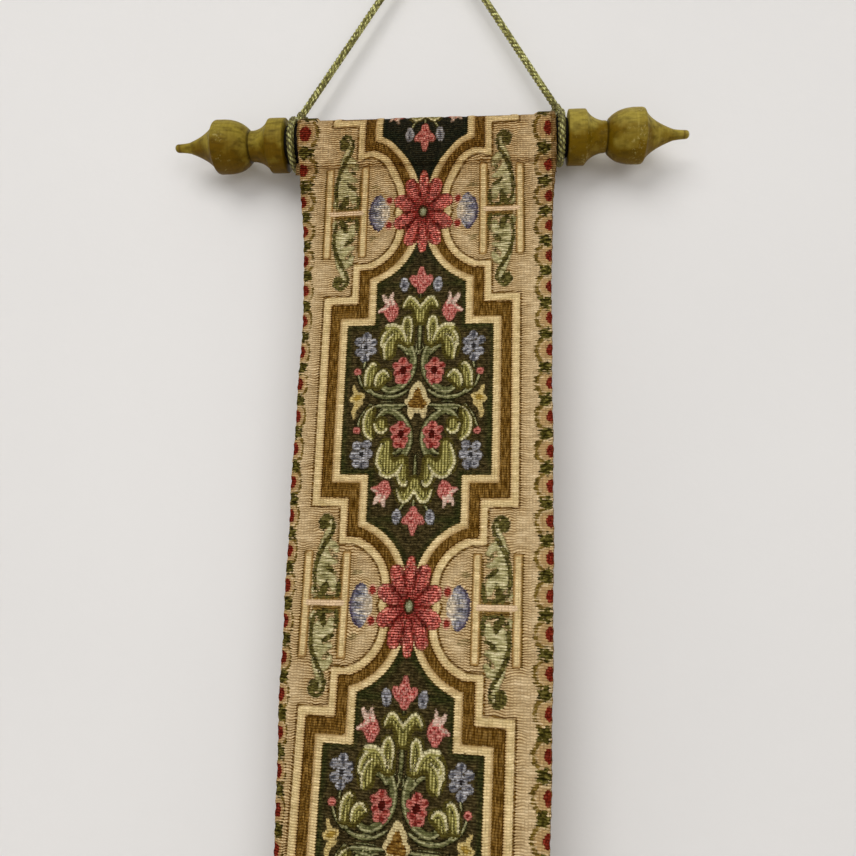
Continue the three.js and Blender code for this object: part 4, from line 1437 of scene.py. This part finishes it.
def stitch_tree():
    """Bowed stitches set on points, each turned to the point's "lie" and a little uneven"""
    group, nodes, given = fresh_group(
        "slant stitches", "GeometryNodeTree",
        [("Geometry", "Geometry"), ("Length", "Float"), ("Thread Radius", "Float"), ("Unevenness", "Float"),
         ("Seed", "Int"), ("Thread", "Material")],
        [("Geometry", "Geometry")])
    half = nodes.times(given["Length"], 0.5)
    third = nodes.times(given["Length"], 0.3)
    bow = nodes.add("GeometryNodeCurvePrimitiveBezierSegment", {
        "Resolution": 6,
        "Start": nodes.vector(nodes.times(half, -1.0), 0.0, -0.0004),
        "Start Handle": nodes.vector(nodes.times(third, -1.0), 0.0, 0.0005),
        "End Handle": nodes.vector(third, 0.0, 0.0005),
        "End": nodes.vector(half, 0.0, -0.0004),
    })
    ring = nodes.add("GeometryNodeCurvePrimitiveCircle", {
        "Resolution": 6, "Radius": given["Thread Radius"]})
    thread = nodes.add("GeometryNodeCurveToMesh", {
        "Curve": bow.outputs[0], "Profile Curve": ring.outputs[0], "Fill Caps": True})
    lie = nodes.add("GeometryNodeInputNamedAttribute", {"Name": "lie"}, data_type="FLOAT").outputs[0]
    wobble = nodes.add("FunctionNodeRandomValue", {2: -1.0, 3: 1.0, 8: given["Seed"]}).outputs[1]
    turned = nodes.plus(lie, nodes.times(wobble, given["Unevenness"]))
    stitches = nodes.add("GeometryNodeInstanceOnPoints", {
        "Points": given["Geometry"], "Instance": thread.outputs[0],
        "Rotation": nodes.vector(-math.pi / 2, turned)})
    real = nodes.add("GeometryNodeRealizeInstances", {"Geometry": stitches.outputs[0]})
    painted = nodes.add("GeometryNodeSetMaterial", {
        "Geometry": real.outputs[0], "Material": given["Thread"]})
    nodes.add("NodeGroupOutput", {0: painted.outputs[0]})
    return group


def sewn_rows():
    """Where each stitch lies: station, place across, lift and slant"""
    rows = []
    for station in np.arange(BOTTOM_HEM + 8, HANG - FLAP_END - 8, STITCH_PITCH):
        below = HANG - station
        rows.append((station, strip_at(LEFT, below) + HEM_WIDTH + 0.3, HEM_LIFT, -0.5))
        rows.append((station, strip_at(RIGHT, below) - HEM_WIDTH - 0.3, HEM_LIFT, 0.5))
    left, right = strip_at(LEFT, HANG - BOTTOM_HEM), strip_at(RIGHT, HANG - BOTTOM_HEM)
    for place in np.arange(left + HEM_WIDTH + 4, right - HEM_WIDTH - 2, STITCH_PITCH):
        rows.append((BOTTOM_HEM + 0.3, place, HEM_LIFT, 1.1))
    for place in np.arange(left + 4, right - 3, SEAM_PITCH):
        rows.append((STRIP_LENGTH - 1.2, place, CLOTH_T + 0.1, 1.4))
    return np.array(rows)


def sewing_cotton():
    """Matt cotton thread, unevenly dyed"""
    material, nodes, surface = fresh_material("tan cotton thread", Roughness=0.85)
    uneven_dye = nodes.noise(nodes.object_place(), 900.0, 1.0)
    cotton = nodes.ramp(uneven_dye, (0.35, (128, 104, 62)), (0.65, (176, 150, 104)))
    nodes.fit(surface, {"Base Color": cotton})
    return material


sewn = sewn_rows()
sewn_places = new_piece("sewing", on_strip(sewn[:, 0], sewn[:, 1], sewn[:, 2]), [])
set_channel(sewn_places, "lie", sewn[:, 3])
stitched = sewn_places.modifiers.new("stitches", "NODES")
stitched.node_group = stitch_tree()
settings = {
    "Length": STITCH_LENGTH * MM, "Thread Radius": SEWING_THREAD_R * MM, "Unevenness": 0.22, "Seed": 5,
    "Thread": sewing_cotton()}
for item in stitched.node_group.interface.items_tree:
    if item.name in settings:
        stitched[item.identifier] = settings[item.name]
evaluated = sewn_places.evaluated_get(bpy.context.evaluated_depsgraph_get())
stitch_mesh = bpy.data.meshes.new_from_object(evaluated)
bpy.data.objects.remove(sewn_places)
stitch_mesh.polygons.foreach_set("use_smooth", [True] * len(stitch_mesh.polygons))
stitching = bpy.data.objects.new("hem_and_sleeve_stitches", stitch_mesh)
scene.collection.objects.link(stitching)
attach(stitching, "root")


# Wall, floor and light. A plain off-white plastered wall close behind, seen only from its front,
# and soft studio light from above on the left, with a weaker fill.
WALL_Y = 7.9
WALL_TOP = 2200.0
FLOOR_Z = -980.0
REACH = 3000.0


def slab(name, corners, material):
    """A flat piece of the stage"""
    made = new_piece(name, corners, [(0, 1, 2, 3)], smooth=False)
    made.data.materials.append(material)


def plaster():
    """Off-white wall, clear from behind and to shadow rays"""
    material, nodes, surface = fresh_material("off-white wall", Roughness=0.9, Specular_IOR_Level=0.1)
    spot = nodes.object_place()
    nodes.fit(surface, {
        "Base Color": nodes.ramp(
            nodes.noise(spot, 3.0, 2.0), (0.3, (220, 218, 216)), (0.7, (226, 224, 222))),
        "Normal": nodes.bump(nodes.noise(spot, 240.0, 3.0), 0.12, 0.0006),
    })
    behind = nodes.add("ShaderNodeNewGeometry").outputs["Backfacing"]
    shadow_ray = nodes.add("ShaderNodeLightPath").outputs["Is Shadow Ray"]
    clear = nodes.add("ShaderNodeBsdfTransparent").outputs[0]
    one_sided = nodes.add("ShaderNodeMixShader", {
        0: nodes.larger(behind, shadow_ray), 1: surface.outputs[0], 2: clear})
    nodes.fit(nodes.tree.nodes["Material Output"], {"Surface": one_sided.outputs[0]})
    return material


slab("wall", [(x, WALL_Y, z) for x, z in (
    (-REACH, FLOOR_Z), (REACH, FLOOR_Z), (REACH, WALL_TOP), (-REACH, WALL_TOP))], plaster())
slab("floor", [(x, y, FLOOR_Z) for x, y in (
    (-REACH, -REACH), (REACH, -REACH), (REACH, REACH), (-REACH, REACH))],
    fresh_material("pale floor", Roughness=0.8, Base_Color=dye(214, 210, 204))[0])


def soft_light(name, at, aim, size, power, colour):
    """A round area lamp that faces its aim"""
    lamp = bpy.data.lights.new(name, "AREA")
    lamp.shape = "DISK"
    lamp.size = size
    lamp.energy = power
    lamp.color = colour
    made = bpy.data.objects.new(name, lamp)
    made.location = at
    away = np.array(at, float) - np.array(aim, float)
    flat = math.hypot(away[0], away[1])
    made.rotation_euler = (math.atan2(flat, away[2]), 0.0, math.atan2(away[1], away[0]) + math.pi / 2)
    scene.collection.objects.link(made)


soft_light("key", (-0.75, -2.2, 1.0), (0.0, 0.0, -0.4), 1.9, 31.5, (1.0, 0.992, 0.985))
soft_light("fill", (1.3, -2.4, -0.3), (0.0, 0.0, -0.4), 2.0, 18.0, (0.985, 0.99, 1.0))
soft_light("back", (0.4, 1.8, 0.9), (0.0, 0.0, -0.45), 1.6, 12.0, (1.0, 1.0, 1.0))
scene.world = bpy.data.worlds.new("studio")
scene.world.use_nodes = True
studio = scene.world.node_tree.nodes["Background"].inputs
studio["Color"].default_value = dye(244, 244, 244)
studio["Strength"].default_value = 0.5
